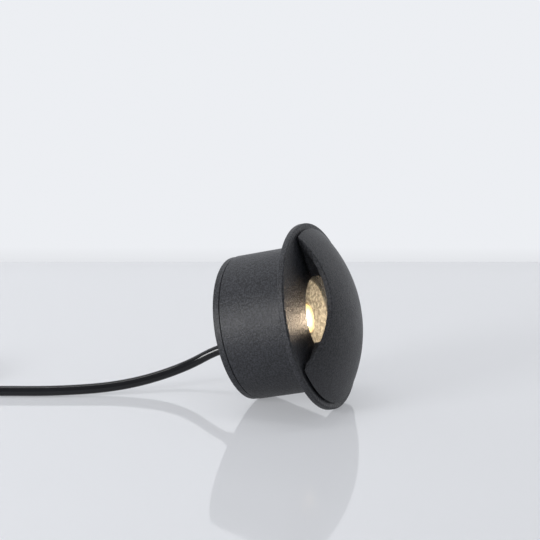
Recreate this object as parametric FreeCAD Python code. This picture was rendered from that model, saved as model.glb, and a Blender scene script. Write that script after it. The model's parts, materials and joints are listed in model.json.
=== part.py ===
import FreeCAD, Part
import math
import os

# Recessed step light with an eyelid hood, lying on the back edges of its flange and its rear cap.
# Each piece is drawn about the light's own axis, +Z forward with the flange's back face at zero,
# and is then turned and set down so that +Z is up and the table is at z = 0.
# Angles in the plan are counted from the direction in which the mouth opens.
# All lengths are in millimetres, all angles in degrees.

# ---- flange and floor
FLANGE_DIAMETER = 80.0
FLANGE_THICKNESS = 2.7
FLANGE_FRONT_ROUND = 0.8
BACK_EDGE_ROUND = 0.4
APERTURE_DIAMETER = 34.8
WINDOW_LIP = 0.9
SPIGOT_DEPTH = 3.2
BARREL_RECESS = 0.4

# ---- hood
HOOD_DIAMETER = 74.8
HOOD_HEIGHT = 12.9
HOOD_GAP = 1.05
HOOD_ROOF = 2.0
HOOD_FOOT_INSET = 1.6
CAVITY_DIAMETER = 37.0
MOUTH_DIRECTION = 155.3
MOUTH_HALF_ANGLE = 50.5
LIP_OFFSET = 16.8
LIP_RADIUS = 58.0
LIP_ROUND = 0.5

# ---- barrel and rear cap
BARREL_DIAMETER = 62.4
BARREL_WALL = 2.8
SHELF_WIDTH = 1.2
SHELF_DEPTH = 10.6
BODY_LENGTH = 33.9
CAP_INSET = 0.2
CAP_BAND = 2.8
CAP_SPIGOT = 2.5
SEAM_WIDTH = 0.5
SEAM_DEPTH = 1.0

# ---- window and light engine
WINDOW_THICKNESS = 2.5
WINDOW_SEAT = 2.0
WINDOW_CHAMFER = 0.25
GASKET_THICKNESS = 0.5
RETAINER_WIDTH = 2.35
RETAINER_SLOT_DIAMETER = 1.4
RETAINER_SLOT_DEPTH = 1.0
RETAINER_SLOT_ANGLES = (45.0, 225.0)
EMITTER_DIAMETER = 14.0
EMITTER_BASE = 0.9
LIT_DIAMETER = 12.4
LIT_HEIGHT = 0.3
BOARD_DIAMETER = 32.0
BOARD_THICKNESS = 1.2
PAD_THICKNESS = 0.2
SPREADER_THICKNESS = 4.0
REFLECTOR_WALL = 0.7
REFLECTOR_BULGE = 1.0

# ---- leads from the LED board to the driver
LEAD_DIAMETER = 1.4
LEAD_SPACING = 3.6
LEAD_MARGIN = 1.75
LEAD_ANGLE = 180.0
LEAD_BEND = 1.6
PAD_MARGIN = 1.7

# ---- driver, with the places of its components on the board
DRIVER_THICKNESS = 1.6
STANDOFF_HEIGHT = 6.4
STANDOFF_DIAMETER = 4.4
STANDOFF_MARGIN = 1.2
STANDOFF_ANGLES = (60.0, 240.0)
STANDOFF_SCREW_DEPTH = 4.0
CONNECTOR_SIZE = (6.0, 8.0, 5.6)
CONNECTOR_RADIUS = 12.5
FILM_CAPACITOR_SIZE = (10.0, 5.0, 5.5)
FILM_CAPACITOR_PLACE = (-4.0, 9.0)
RECTIFIER_SIZE = (6.5, 5.0, 2.5)
RECTIFIER_PLACE = (-6.0, -9.0)
TRANSFORMER_CORE = (12.0, 11.0, 6.6)
TRANSFORMER_PLACE = (10.9, -2.0)
WINDING_SHARE = 0.6
CAPACITOR_DIAMETER = 6.3
CAPACITOR_HEIGHT = 6.8
CAPACITOR_PLACE = (-12.5, 2.0)
TERMINAL_SIZE = (8.0, 7.0, 6.8)
TERMINAL_PLACE = (-3.0, 8.5)
TERMINAL_WELL_DEPTH = 2.3
COMPONENT_ROUND = 0.5

# ---- fasteners, named by the thread they have
SCREW_MARGIN = 0.6
TIE_SCREW_ANGLES = (0.0, 120.0, 240.0)
HOOD_SCREW_ANGLES = (90.0, 180.0, 270.0)
THREAD_M3 = 3.0
THREAD_M2 = 2.0
HEAD_M3 = 5.5
HEAD_HEIGHT_M3 = 1.9
HEAD_M2 = 3.6
HEAD_HEIGHT_M2 = 1.0
BOSS_WELD = 0.3
TIE_ENGAGEMENT = 4.2
HOOD_SCREW_MARGIN = 1.35
HOOD_SCREW_REACH = 7.0
BOARD_SCREW_MARGIN = 0.2
BOARD_SCREW_ANGLES = (30.0, 210.0)
BOARD_SCREW_DEPTH = 3.6
SOCKET_SHARE = 0.25
SOCKET_DEPTH_SHARE = 0.6

# ---- seals
RING_SECTION = 1.2

# ---- cord and the bush that it leaves through
CORD_DIAMETER = 4.4
CORE_DIAMETER = 1.5
CORE_SPACING = 1.8
CORE_BEND = 1.8
CORE_LEVEL = 1.9
BUSH_DROP = 6.0
BUSH_NECK = 8.0
BUSH_COLLAR = 11.0
BUSH_COLLAR_THICKNESS = 1.6
BUSH_NOSE = 9.5
BUSH_NOSE_TIP = 5.8
BUSH_TAIL = 4.8
CORD_STRAIGHT = 2.5
CORD_FALL = (-7.5, 48.5, 9.3)
CORD_NEAR_TABLE = (-21.5, 69.5, 3.4)
CORD_ON_TABLE = ((-36.0, 93.0), (-51.5, 117.5))
COIL_CENTRE = (-40.4, 160.2)
COIL_DIAMETER = 48.0
COIL_TURNS_WIDE = 3
COIL_TIE_WIDTH = 5.0
COIL_TIE_THICKNESS = 0.8
COIL_TIE_ANGLE = 330.0
ENTRY_ANGLE = 205.4
TAIL_ANGLE = 90.0
TAIL_LENGTH = 36.0
TAIL_RISE = 0.3
CORE_END_LENGTH = 18.0
CORE_END_SPREAD = 2.6
BARE_TIP_LENGTH = 6.0
BARE_TIP_DIAMETER = 0.9

# ---- fits
SLIDE_FIT = 0.10
THREAD_FIT = 0.05
HOLE_FIT = 0.15
TOUCH = 0.02
END_GAP = 0.3

# ---- shares and tolerances
ARC_SHARE = 0.45
SAME = 1e-4

# ---- radii that follow
FLANGE_RADIUS = FLANGE_DIAMETER / 2
HOOD_RADIUS = HOOD_DIAMETER / 2
BARREL_RADIUS = BARREL_DIAMETER / 2
CAP_RADIUS = BARREL_RADIUS - CAP_INSET
BORE_RADIUS = BARREL_RADIUS - BARREL_WALL
REAR_BORE_RADIUS = BORE_RADIUS - SHELF_WIDTH
SPIGOT_RADIUS = BORE_RADIUS - SLIDE_FIT
CAP_SPIGOT_RADIUS = REAR_BORE_RADIUS - SLIDE_FIT
APERTURE_RADIUS = APERTURE_DIAMETER / 2
WINDOW_RADIUS = APERTURE_RADIUS + WINDOW_SEAT
SEAT_RADIUS = WINDOW_RADIUS + SLIDE_FIT
RETAINER_RADIUS = SEAT_RADIUS - THREAD_FIT
CAVITY_RADIUS = CAVITY_DIAMETER / 2
RING_FLOOR_RADIUS = REAR_BORE_RADIUS - TOUCH - RING_SECTION - SLIDE_FIT
SCREW_RADIUS = RING_FLOOR_RADIUS - SCREW_MARGIN - THREAD_M3 / 2 - HOLE_FIT
HOOD_SCREW_RADIUS = SEAT_RADIUS + HEAD_M3 / 2 + HOOD_SCREW_MARGIN
BOSS_RADIUS = REAR_BORE_RADIUS - SCREW_RADIUS + BOSS_WELD
DRIVER_RADIUS = SCREW_RADIUS - BOSS_RADIUS - END_GAP
STANDOFF_RADIUS = DRIVER_RADIUS - HEAD_M2 / 2 - STANDOFF_MARGIN
BOARD_RADIUS = BOARD_DIAMETER / 2
BOARD_SCREW_RADIUS = BOARD_RADIUS - HEAD_M2 / 2 - BOARD_SCREW_MARGIN
LEAD_RADIUS = BOARD_RADIUS + LEAD_DIAMETER / 2 + HOLE_FIT + LEAD_MARGIN
PAD_RADIUS = BOARD_RADIUS - PAD_MARGIN
OUTER_TURN_RADIUS = COIL_DIAMETER / 2 + (COIL_TURNS_WIDE - 1) * CORD_DIAMETER / 2
TOP_TURN_RADIUS = OUTER_TURN_RADIUS - CORD_DIAMETER / 2

# ---- levels that follow, on the light's own axis
GASKET_TOP = FLANGE_THICKNESS - WINDOW_LIP
WINDOW_TOP = GASKET_TOP - GASKET_THICKNESS
WINDOW_BACK = WINDOW_TOP - WINDOW_THICKNESS
HOOD_BASE = FLANGE_THICKNESS + HOOD_GAP
HOOD_APEX = HOOD_BASE + HOOD_HEIGHT
DOME_RADIUS = (HOOD_RADIUS ** 2 + HOOD_HEIGHT ** 2) / (2 * HOOD_HEIGHT)
DOME_LEVEL = HOOD_APEX - DOME_RADIUS
SPREADER_BACK = -SHELF_DEPTH
SPREADER_FRONT = SPREADER_BACK + SPREADER_THICKNESS
BOARD_BACK = SPREADER_FRONT + PAD_THICKNESS
BOARD_FRONT = BOARD_BACK + BOARD_THICKNESS
EMITTER_TOP = BOARD_FRONT + EMITTER_BASE + LIT_HEIGHT
REAR_END = -BODY_LENGTH
CAP_FRONT = REAR_END + CAP_BAND
BARREL_REAR = CAP_FRONT + SEAM_WIDTH
CAP_SPIGOT_END = BARREL_REAR + CAP_SPIGOT
DRIVER_FRONT = SPREADER_BACK - STANDOFF_HEIGHT
DRIVER_BACK = DRIVER_FRONT - DRIVER_THICKNESS
BUSH_END = CAP_SPIGOT_END + BUSH_TAIL
BUSH_TIP = REAR_END - BUSH_NOSE
CORD_LYING = CORD_DIAMETER / 2
SECOND_LAYER = CORD_LYING + CORD_DIAMETER * math.sqrt(3) / 2

# The light tips until both back edges touch the table.
TILT = math.degrees(math.atan2(FLANGE_RADIUS - CAP_RADIUS, BODY_LENGTH))


def disc(radius, bottom, top, centre=(0.0, 0.0)):
    """A round plate between two levels."""
    base = FreeCAD.Vector(centre[0], centre[1], bottom)
    return Part.makeCylinder(radius, top - bottom, base)


def cone(bottom_radius, top_radius, bottom, top, centre=(0.0, 0.0)):
    """A truncated cone between two levels."""
    base = FreeCAD.Vector(centre[0], centre[1], bottom)
    return Part.makeCone(bottom_radius, top_radius, top - bottom, base)


def ring(outer, inner, bottom, top, centre=(0.0, 0.0)):
    """A flat ring between two levels."""
    return disc(outer, bottom, top, centre).cut(disc(inner, bottom, top, centre))


def block(size, bottom, centre):
    """A rectangular block standing on a level, centred on a point of the plan."""
    corner = FreeCAD.Vector(centre[0] - size[0] / 2, centre[1] - size[1] / 2, bottom)
    return Part.makeBox(size[0], size[1], size[2], corner)


def polar(radius, angle, aside=0.0):
    """A point of the plan at a radius and an angle from the mouth, moved aside at right angles."""
    turn = math.radians(MOUTH_DIRECTION + angle)
    x = radius * math.cos(turn) - aside * math.sin(turn)
    y = radius * math.sin(turn) + aside * math.cos(turn)
    return (x, y)


def prism(points, bottom, top):
    """An upright prism over a closed outline of the plan."""
    corners = [FreeCAD.Vector(x, y, bottom) for x, y in points]
    outline = Part.makePolygon(corners + [corners[0]])
    return Part.Face(outline).extrude(FreeCAD.Vector(0, 0, top - bottom))


def revolved(edges):
    """A solid of revolution about the light's axis, from edges in the XZ plane."""
    face = Part.Face(Part.Wire(edges))
    return face.revolve(FreeCAD.Vector(0, 0, 0), FreeCAD.Vector(0, 0, 1), 360)


def line(start, end):
    """A straight edge in the XZ plane, from (radius, level) to (radius, level)."""
    first = FreeCAD.Vector(start[0], 0, start[1])
    second = FreeCAD.Vector(end[0], 0, end[1])
    return Part.LineSegment(first, second).toShape()


def arc(start, middle, end):
    """A circular edge in the XZ plane through three (radius, level) points."""
    points = [FreeCAD.Vector(p[0], 0, p[1]) for p in (start, middle, end)]
    return Part.Arc(*points).toShape()


def circles(shape, radius, level):
    """The full circular edges of a shape with a radius and a level."""
    found = []
    for edge in shape.Edges:
        curve = edge.Curve
        if isinstance(curve, Part.Circle) and abs(curve.Radius - radius) < SAME:
            if abs(curve.Center.z - level) < SAME:
                found.append(edge)
    return found


def tube(points, diameter, bend=None):
    """A round bar along straight runs joined by tangent arcs.

    Without a bend radius each arc is as large as its two runs allow.
    Returns the solid, the length of its path and the radii of its arcs.
    """
    edges = []
    radii = []
    last = points[0]
    for before_point, corner, after_point in zip(points, points[1:], points[2:]):
        before = corner - before_point
        after = after_point - corner
        half_turn = before.getAngle(after) / 2
        radius = bend or ARC_SHARE * min(before.Length, after.Length) / math.tan(half_turn)
        reach = radius * math.tan(half_turn)
        begin = corner - before * (reach / before.Length)
        end = corner + after * (reach / after.Length)
        inward = (begin + end) * 0.5 - corner
        to_arc = radius / math.cos(half_turn) - radius
        middle = corner + inward * (to_arc / inward.Length)
        edges.append(Part.LineSegment(last, begin).toShape())
        edges.append(Part.Arc(begin, middle, end).toShape())
        radii.append(radius)
        last = end
    edges.append(Part.LineSegment(last, points[-1]).toShape())
    path = Part.Wire(edges)
    section = Part.Circle(points[0], points[1] - points[0], diameter / 2).toShape()
    solid = path.makePipeShell([Part.Wire([section])], True, True, 2)
    return solid, path.Length, radii


def spatial(x, y, z):
    """A point in space."""
    return FreeCAD.Vector(x, y, z)


def pan_screw(thread, head, head_height, tip, seat, centre):
    """A pan-head screw pointing along +Z, its head below the seat, with a hexagon socket."""
    shank = disc(thread / 2, seat, tip, centre)
    top = disc(head / 2, seat - head_height, seat, centre)
    reach = head * SOCKET_SHARE
    turns = [math.radians(60 * i) for i in range(6)]
    corners = [(centre[0] + reach * math.cos(t), centre[1] + reach * math.sin(t)) for t in turns]
    socket = prism(corners, seat - head_height, seat - head_height * (1 - SOCKET_DEPTH_SHARE))
    return shank.fuse(top).cut(socket).removeSplitter()


def turned_over(shape, centre, level):
    """A shape turned upside down about a level, at a point of the plan."""
    turned = shape.copy()
    turned.rotate(FreeCAD.Vector(centre[0], centre[1], level), FreeCAD.Vector(1, 0, 0), 180)
    return turned


def o_ring(bore_radius, level):
    """A round-section seal whose outside lies on a bore."""
    section = RING_SECTION / 2
    return Part.makeTorus(bore_radius - section - TOUCH, section, FreeCAD.Vector(0, 0, level))


def o_ring_groove(bore_radius, level):
    """The groove that such a seal lies in."""
    half = RING_SECTION / 2 + SLIDE_FIT
    floor_radius = bore_radius - RING_SECTION - TOUCH - SLIDE_FIT
    return ring(bore_radius + RING_SECTION, floor_radius, level - half, level + half)


def wedge(extra, bottom, top):
    """The sector that the mouth opens into, widened on each side by an extra distance."""
    reach = FLANGE_DIAMETER
    lift = extra / math.sin(math.radians(MOUTH_HALF_ANGLE))
    origin = polar(-lift, 0.0)
    sides = [polar(reach, angle) for angle in (-MOUTH_HALF_ANGLE, 0.0, MOUTH_HALF_ANGLE)]
    outline = [origin] + [(x + origin[0], y + origin[1]) for x, y in sides]
    return prism(outline, bottom, top)


def bezel():
    """Flange with a flat floor, the window's seat, a spigot that enters the barrel and a recess round it."""
    body = disc(FLANGE_RADIUS, 0, FLANGE_THICKNESS)
    body = body.makeFillet(FLANGE_FRONT_ROUND, circles(body, FLANGE_RADIUS, FLANGE_THICKNESS))
    body = body.makeFillet(BACK_EDGE_ROUND, circles(body, FLANGE_RADIUS, 0))
    body = body.fuse(disc(SPIGOT_RADIUS, -SPIGOT_DEPTH, 0)).removeSplitter()
    body = body.cut(ring(BARREL_RADIUS + SLIDE_FIT, SPIGOT_RADIUS, 0, BARREL_RECESS))
    body = body.cut(disc(APERTURE_RADIUS, -SPIGOT_DEPTH, FLANGE_THICKNESS))
    body = body.cut(disc(SEAT_RADIUS, -SPIGOT_DEPTH, GASKET_TOP))
    body = body.cut(o_ring_groove(BORE_RADIUS, -SPIGOT_DEPTH / 2))
    for angle in TIE_SCREW_ANGLES:
        tip = -SPIGOT_DEPTH + TIE_ENGAGEMENT + END_GAP
        place = polar(SCREW_RADIUS, angle)
        body = body.cut(disc(THREAD_M3 / 2 + THREAD_FIT, -SPIGOT_DEPTH, tip, place))
    for angle in HOOD_SCREW_ANGLES:
        place = polar(HOOD_SCREW_RADIUS, angle)
        head = HEAD_M3 / 2 + THREAD_FIT
        shank = THREAD_M3 / 2 + THREAD_FIT
        body = body.cut(cone(head, shank, -SPIGOT_DEPTH, -SPIGOT_DEPTH + head - shank, place))
        body = body.cut(disc(shank, -SPIGOT_DEPTH, FLANGE_THICKNESS, place))
    return body


def hood_screws():
    """Countersunk screws from behind the flange into the hood."""
    screws = []
    neck = -SPIGOT_DEPTH + (HEAD_M3 - THREAD_M3) / 2
    tip = FLANGE_THICKNESS + HOOD_SCREW_REACH
    for angle in HOOD_SCREW_ANGLES:
        place = polar(HOOD_SCREW_RADIUS, angle)
        head = cone(HEAD_M3 / 2, THREAD_M3 / 2, -SPIGOT_DEPTH, neck, place)
        screw = head.fuse(disc(THREAD_M3 / 2, neck, tip, place)).removeSplitter()
        screws.append(screw.cut(disc(HEAD_M3 * SOCKET_SHARE, -SPIGOT_DEPTH, neck, place)))
    return screws


def eyelid_hood():
    """Dome with a mouth on one side, a roof over the window and a foot that leaves a shadow gap."""
    half_way = 0.5 * math.asin(HOOD_RADIUS / DOME_RADIUS)
    middle = (DOME_RADIUS * math.sin(half_way), DOME_LEVEL + DOME_RADIUS * math.cos(half_way))
    dome = revolved([
        line((0, HOOD_BASE), (HOOD_RADIUS, HOOD_BASE)),
        arc((HOOD_RADIUS, HOOD_BASE), middle, (0, HOOD_APEX)),
        line((0, HOOD_APEX), (0, HOOD_BASE)),
    ])
    under_roof = Part.makeSphere(DOME_RADIUS - HOOD_ROOF, FreeCAD.Vector(0, 0, DOME_LEVEL))
    sector = wedge(0, FLANGE_THICKNESS, HOOD_APEX)
    cavity = sector.fuse(disc(CAVITY_RADIUS, FLANGE_THICKNESS, HOOD_APEX)).common(under_roof)
    lip_centre = polar(LIP_OFFSET + LIP_RADIUS, 0)
    mouth = sector.common(disc(LIP_RADIUS, FLANGE_THICKNESS, HOOD_APEX, lip_centre))
    hood = rounded_lip(dome.cut(cavity.fuse(mouth)))
    foot = disc(HOOD_RADIUS - HOOD_FOOT_INSET, FLANGE_THICKNESS, HOOD_BASE)
    foot = foot.cut(wedge(HOOD_FOOT_INSET, FLANGE_THICKNESS, HOOD_BASE))
    foot = foot.cut(disc(CAVITY_RADIUS + HOOD_FOOT_INSET, FLANGE_THICKNESS, HOOD_BASE))
    hood = hood.fuse(foot).removeSplitter()
    for angle in HOOD_SCREW_ANGLES:
        tip = FLANGE_THICKNESS + HOOD_SCREW_REACH + END_GAP
        place = polar(HOOD_SCREW_RADIUS, angle)
        hood = hood.cut(disc(THREAD_M3 / 2 + THREAD_FIT, FLANGE_THICKNESS, tip, place))
    return hood


def rounded_lip(hood):
    """Round the edges where the mouth meets the dome."""
    chosen = []
    for edge in hood.Edges:
        middle = edge.valueAt((edge.FirstParameter + edge.LastParameter) / 2)
        from_centre = (middle - FreeCAD.Vector(0, 0, DOME_LEVEL)).Length
        if abs(from_centre - DOME_RADIUS) < SAME and middle.z > HOOD_BASE + LIP_ROUND:
            chosen.append(edge)
    return hood.makeFillet(LIP_ROUND, chosen)


def window_gasket():
    """Flat seal between the window and the lip of its seat."""
    return ring(WINDOW_RADIUS, APERTURE_RADIUS + SLIDE_FIT, WINDOW_TOP, GASKET_TOP)


def window_glass():
    """Round toughened glass with ground edges."""
    glass = disc(WINDOW_RADIUS, WINDOW_BACK, WINDOW_TOP)
    edges = circles(glass, WINDOW_RADIUS, WINDOW_BACK) + circles(glass, WINDOW_RADIUS, WINDOW_TOP)
    return glass.makeChamfer(WINDOW_CHAMFER, edges)


def retaining_ring():
    """Threaded ring that holds the window, with two key holes."""
    body = ring(RETAINER_RADIUS, RETAINER_RADIUS - RETAINER_WIDTH, -SPIGOT_DEPTH, WINDOW_BACK)
    for angle in RETAINER_SLOT_ANGLES:
        place = polar(RETAINER_RADIUS - RETAINER_WIDTH / 2, angle)
        hole_top = -SPIGOT_DEPTH + RETAINER_SLOT_DEPTH
        body = body.cut(disc(RETAINER_SLOT_DIAMETER / 2, -SPIGOT_DEPTH, hole_top, place))
    return body


def reflector():
    """Bowl from the emitter's edge up to the back of the window, steeper towards its rim."""
    foot = EMITTER_DIAMETER / 2 + HOLE_FIT
    rim = RETAINER_RADIUS - RETAINER_WIDTH - HOLE_FIT
    inner_rim = rim - REFLECTOR_WALL
    high = WINDOW_BACK - TOUCH
    outer_foot = foot + REFLECTOR_WALL
    run = inner_rim - foot
    rise = high - EMITTER_TOP
    chord = math.hypot(run, rise)
    outward = (rise / chord, -run / chord)
    middle_r = foot + run / 2
    middle_z = EMITTER_TOP + rise / 2
    inner = (middle_r + outward[0] * REFLECTOR_BULGE, middle_z + outward[1] * REFLECTOR_BULGE)
    deep = REFLECTOR_BULGE + REFLECTOR_WALL
    outer = (middle_r + outward[0] * deep, middle_z + outward[1] * deep)
    shoulder = EMITTER_TOP - REFLECTOR_WALL
    return revolved([
        line((foot, BOARD_FRONT), (foot, EMITTER_TOP)),
        arc((foot, EMITTER_TOP), inner, (inner_rim, high)),
        line((inner_rim, high), (rim, high)),
        arc((rim, high), outer, (outer_foot, shoulder)),
        line((outer_foot, shoulder), (outer_foot, BOARD_FRONT)),
        line((outer_foot, BOARD_FRONT), (foot, BOARD_FRONT)),
    ])


def led_emitter():
    """Round emitter with a raised lit disc."""
    base = disc(EMITTER_DIAMETER / 2, BOARD_FRONT, BOARD_FRONT + EMITTER_BASE)
    return base.fuse(disc(LIT_DIAMETER / 2, BOARD_FRONT + EMITTER_BASE, EMITTER_TOP))


def bored_for_board_screws(shape, radius, bottom, top):
    """A shape with the two board screws' holes in it."""
    for angle in BOARD_SCREW_ANGLES:
        shape = shape.cut(disc(radius, bottom, top, polar(BOARD_SCREW_RADIUS, angle)))
    return shape


def led_board():
    """Metal-cored board under the emitter."""
    board = disc(BOARD_RADIUS, BOARD_BACK, BOARD_FRONT)
    return bored_for_board_screws(board, THREAD_M2 / 2 + THREAD_FIT, BOARD_BACK, BOARD_FRONT)


def thermal_pad():
    """Thin pad between the board and the heat spreader."""
    pad = disc(BOARD_RADIUS, SPREADER_FRONT, BOARD_BACK)
    return bored_for_board_screws(pad, THREAD_M2 / 2 + HOLE_FIT, SPREADER_FRONT, BOARD_BACK)


def board_screws():
    """Two small screws that hold the board to the heat spreader."""
    screws = []
    for angle in BOARD_SCREW_ANGLES:
        place = polar(BOARD_SCREW_RADIUS, angle)
        tip = BOARD_FRONT + BOARD_SCREW_DEPTH
        screw = pan_screw(THREAD_M2, HEAD_M2, HEAD_HEIGHT_M2, tip, BOARD_FRONT, place)
        screws.append(turned_over(screw, place, BOARD_FRONT))
    return screws


def heat_spreader():
    """Thick plate on the barrel's shelf that carries the LED board in front and the driver behind."""
    plate = disc(BORE_RADIUS - SLIDE_FIT, SPREADER_BACK, SPREADER_FRONT)
    for angle in TIE_SCREW_ANGLES:
        place = polar(SCREW_RADIUS, angle)
        plate = plate.cut(disc(THREAD_M3 / 2 + HOLE_FIT, SPREADER_BACK, SPREADER_FRONT, place))
    for aside in (-LEAD_SPACING / 2, LEAD_SPACING / 2):
        place = polar(LEAD_RADIUS, LEAD_ANGLE, aside)
        plate = plate.cut(disc(LEAD_DIAMETER / 2 + HOLE_FIT, SPREADER_BACK, SPREADER_FRONT, place))
    radius = THREAD_M2 / 2 + THREAD_FIT
    return bored_for_board_screws(plate, radius, SPREADER_BACK, SPREADER_FRONT)


def lead(aside):
    """One wire from its pad on the LED board, through the heat spreader, to the output connector."""
    start_level = BOARD_FRONT + LEAD_DIAMETER / 2 + TOUCH
    end_level = DRIVER_FRONT + CONNECTOR_SIZE[2] / 2
    connector_face = CONNECTOR_RADIUS + CONNECTOR_SIZE[0] / 2 + TOUCH
    outer = polar(LEAD_RADIUS, LEAD_ANGLE, aside)
    start = polar(PAD_RADIUS, LEAD_ANGLE, aside)
    end = polar(connector_face, LEAD_ANGLE, aside)
    points = [
        spatial(start[0], start[1], start_level),
        spatial(outer[0], outer[1], start_level),
        spatial(outer[0], outer[1], end_level),
        spatial(end[0], end[1], end_level),
    ]
    return tube(points, LEAD_DIAMETER, LEAD_BEND)[0]


def output_connector():
    """Block on the driver board that takes the two LED leads."""
    body = block(CONNECTOR_SIZE, DRIVER_FRONT, (CONNECTOR_RADIUS, 0))
    body = body.makeFillet(COMPONENT_ROUND, vertical_edges(body))
    body.rotate(FreeCAD.Vector(0, 0, 0), FreeCAD.Vector(0, 0, 1), MOUTH_DIRECTION + LEAD_ANGLE)
    return body


def vertical_edges(shape):
    """The straight edges of a shape that run along the light's axis."""
    found = []
    for edge in shape.Edges:
        start, end = edge.Vertexes[0].Point, edge.Vertexes[-1].Point
        if math.hypot(end.x - start.x, end.y - start.y) < SAME:
            found.append(edge)
    return found


def standoffs():
    """Hexagon pillars between the heat spreader and the driver board."""
    pillars = []
    for angle in STANDOFF_ANGLES:
        place = polar(STANDOFF_RADIUS, angle)
        turns = [math.radians(60 * i) for i in range(6)]
        reach = STANDOFF_DIAMETER / 2
        outline = [(place[0] + reach * math.cos(t), place[1] + reach * math.sin(t)) for t in turns]
        pillar = prism(outline, DRIVER_FRONT, SPREADER_BACK)
        top = DRIVER_FRONT + STANDOFF_SCREW_DEPTH + END_GAP
        pillars.append(pillar.cut(disc(THREAD_M2 / 2 + THREAD_FIT, DRIVER_FRONT, top, place)))
    return pillars


def driver_screws():
    """Small screws through the driver board into the pillars."""
    screws = []
    for angle in STANDOFF_ANGLES:
        place = polar(STANDOFF_RADIUS, angle)
        tip = DRIVER_FRONT + STANDOFF_SCREW_DEPTH
        screws.append(pan_screw(THREAD_M2, HEAD_M2, HEAD_HEIGHT_M2, tip, DRIVER_BACK, place))
    return screws


def driver_board():
    """Round circuit board behind the heat spreader."""
    board = disc(DRIVER_RADIUS, DRIVER_BACK, DRIVER_FRONT)
    for angle in STANDOFF_ANGLES:
        place = polar(STANDOFF_RADIUS, angle)
        board = board.cut(disc(THREAD_M2 / 2 + THREAD_FIT, DRIVER_BACK, DRIVER_FRONT, place))
    return board


def behind_board(size, place):
    """A component on the rear face of the driver board, with rounded corners."""
    body = block(size, DRIVER_BACK - size[2], place)
    return body.makeFillet(COMPONENT_ROUND, vertical_edges(body))


def film_capacitor():
    """Boxed capacitor in front of the driver board."""
    body = block(FILM_CAPACITOR_SIZE, DRIVER_FRONT, FILM_CAPACITOR_PLACE)
    return body.makeFillet(COMPONENT_ROUND, vertical_edges(body))


def rectifier():
    """Bridge rectifier in front of the driver board."""
    body = block(RECTIFIER_SIZE, DRIVER_FRONT, RECTIFIER_PLACE)
    return body.makeFillet(COMPONENT_ROUND, vertical_edges(body))


def transformer():
    """Wound transformer: a core with a round winding that stands a little proud of it."""
    core = behind_board(TRANSFORMER_CORE, TRANSFORMER_PLACE)
    radius = TRANSFORMER_CORE[1] / 2 + COMPONENT_ROUND
    middle = DRIVER_BACK - TRANSFORMER_CORE[2] / 2
    half = TRANSFORMER_CORE[2] * WINDING_SHARE / 2
    winding = disc(radius, middle - half, middle + half, TRANSFORMER_PLACE)
    return core.fuse(winding).removeSplitter()


def electrolytic_capacitor():
    """Round capacitor standing on the rear face of the driver board."""
    bottom = DRIVER_BACK - CAPACITOR_HEIGHT
    can = disc(CAPACITOR_DIAMETER / 2, bottom, DRIVER_BACK, CAPACITOR_PLACE)
    return can.makeFillet(COMPONENT_ROUND, circles(can, CAPACITOR_DIAMETER / 2, bottom))


def terminal_block():
    """Two-way terminal for the supply cores, with a screw well over each."""
    body = behind_board(TERMINAL_SIZE, TERMINAL_PLACE)
    low = DRIVER_BACK - TERMINAL_SIZE[2]
    for side in (-1, 1):
        well = (TERMINAL_PLACE[0] + side * TERMINAL_SIZE[0] / 4, TERMINAL_PLACE[1])
        body = body.cut(disc(CORE_DIAMETER, low, low + TERMINAL_WELL_DEPTH, well))
    return body


def supply_core(side):
    """One core from the end of the sheath to its side of the terminal block."""
    start_x = side * CORE_SPACING / 2
    end_x = TERMINAL_PLACE[0] + side * TERMINAL_SIZE[0] / 4
    start_level = BUSH_END + TOUCH
    face = TERMINAL_PLACE[1] - TERMINAL_SIZE[1] / 2 - TOUCH
    bend_level = DRIVER_BACK - CORE_LEVEL
    points = [
        spatial(start_x, -BUSH_DROP, start_level),
        spatial(start_x, -BUSH_DROP, bend_level),
        spatial(end_x, face - CORE_BEND * 2, bend_level),
        spatial(end_x, face, bend_level),
    ]
    return tube(points, CORE_DIAMETER, CORE_BEND)[0]


def housing_barrel():
    """Tube that enters the wall, with a shelf for the heat spreader and a boss for each tie screw."""
    body = ring(BARREL_RADIUS, REAR_BORE_RADIUS, BARREL_REAR, BARREL_RECESS)
    body = body.cut(disc(BORE_RADIUS, SPREADER_BACK, BARREL_RECESS))
    boss_rear = CAP_SPIGOT_END + SLIDE_FIT
    for angle in TIE_SCREW_ANGLES:
        place = polar(SCREW_RADIUS, angle)
        boss = disc(BOSS_RADIUS, boss_rear, SPREADER_BACK, place)
        body = body.fuse(boss.common(disc(BARREL_RADIUS, boss_rear, SPREADER_BACK)))
        body = body.cut(disc(THREAD_M3 / 2 + HOLE_FIT, boss_rear, SPREADER_BACK, place))
    return body.removeSplitter()


def rear_cap():
    """Rear cover with a spigot in the barrel, a narrow seam, and holes for the screws and the cord."""
    body = disc(CAP_RADIUS, REAR_END, CAP_FRONT)
    body = body.makeFillet(BACK_EDGE_ROUND, circles(body, CAP_RADIUS, REAR_END))
    body = body.fuse(disc(CAP_RADIUS - SEAM_DEPTH, CAP_FRONT, BARREL_REAR))
    body = body.fuse(disc(CAP_SPIGOT_RADIUS, BARREL_REAR, CAP_SPIGOT_END)).removeSplitter()
    body = body.cut(o_ring_groove(REAR_BORE_RADIUS, (BARREL_REAR + CAP_SPIGOT_END) / 2))
    for angle in TIE_SCREW_ANGLES:
        place = polar(SCREW_RADIUS, angle)
        well = REAR_END + HEAD_HEIGHT_M3 + END_GAP
        body = body.cut(disc(HEAD_M3 / 2 + HOLE_FIT, REAR_END, well, place))
        body = body.cut(disc(THREAD_M3 / 2 + HOLE_FIT, REAR_END, CAP_SPIGOT_END, place))
    neck = BUSH_NECK / 2 + THREAD_FIT
    return body.cut(disc(neck, REAR_END, CAP_SPIGOT_END, (0, -BUSH_DROP)))


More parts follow.
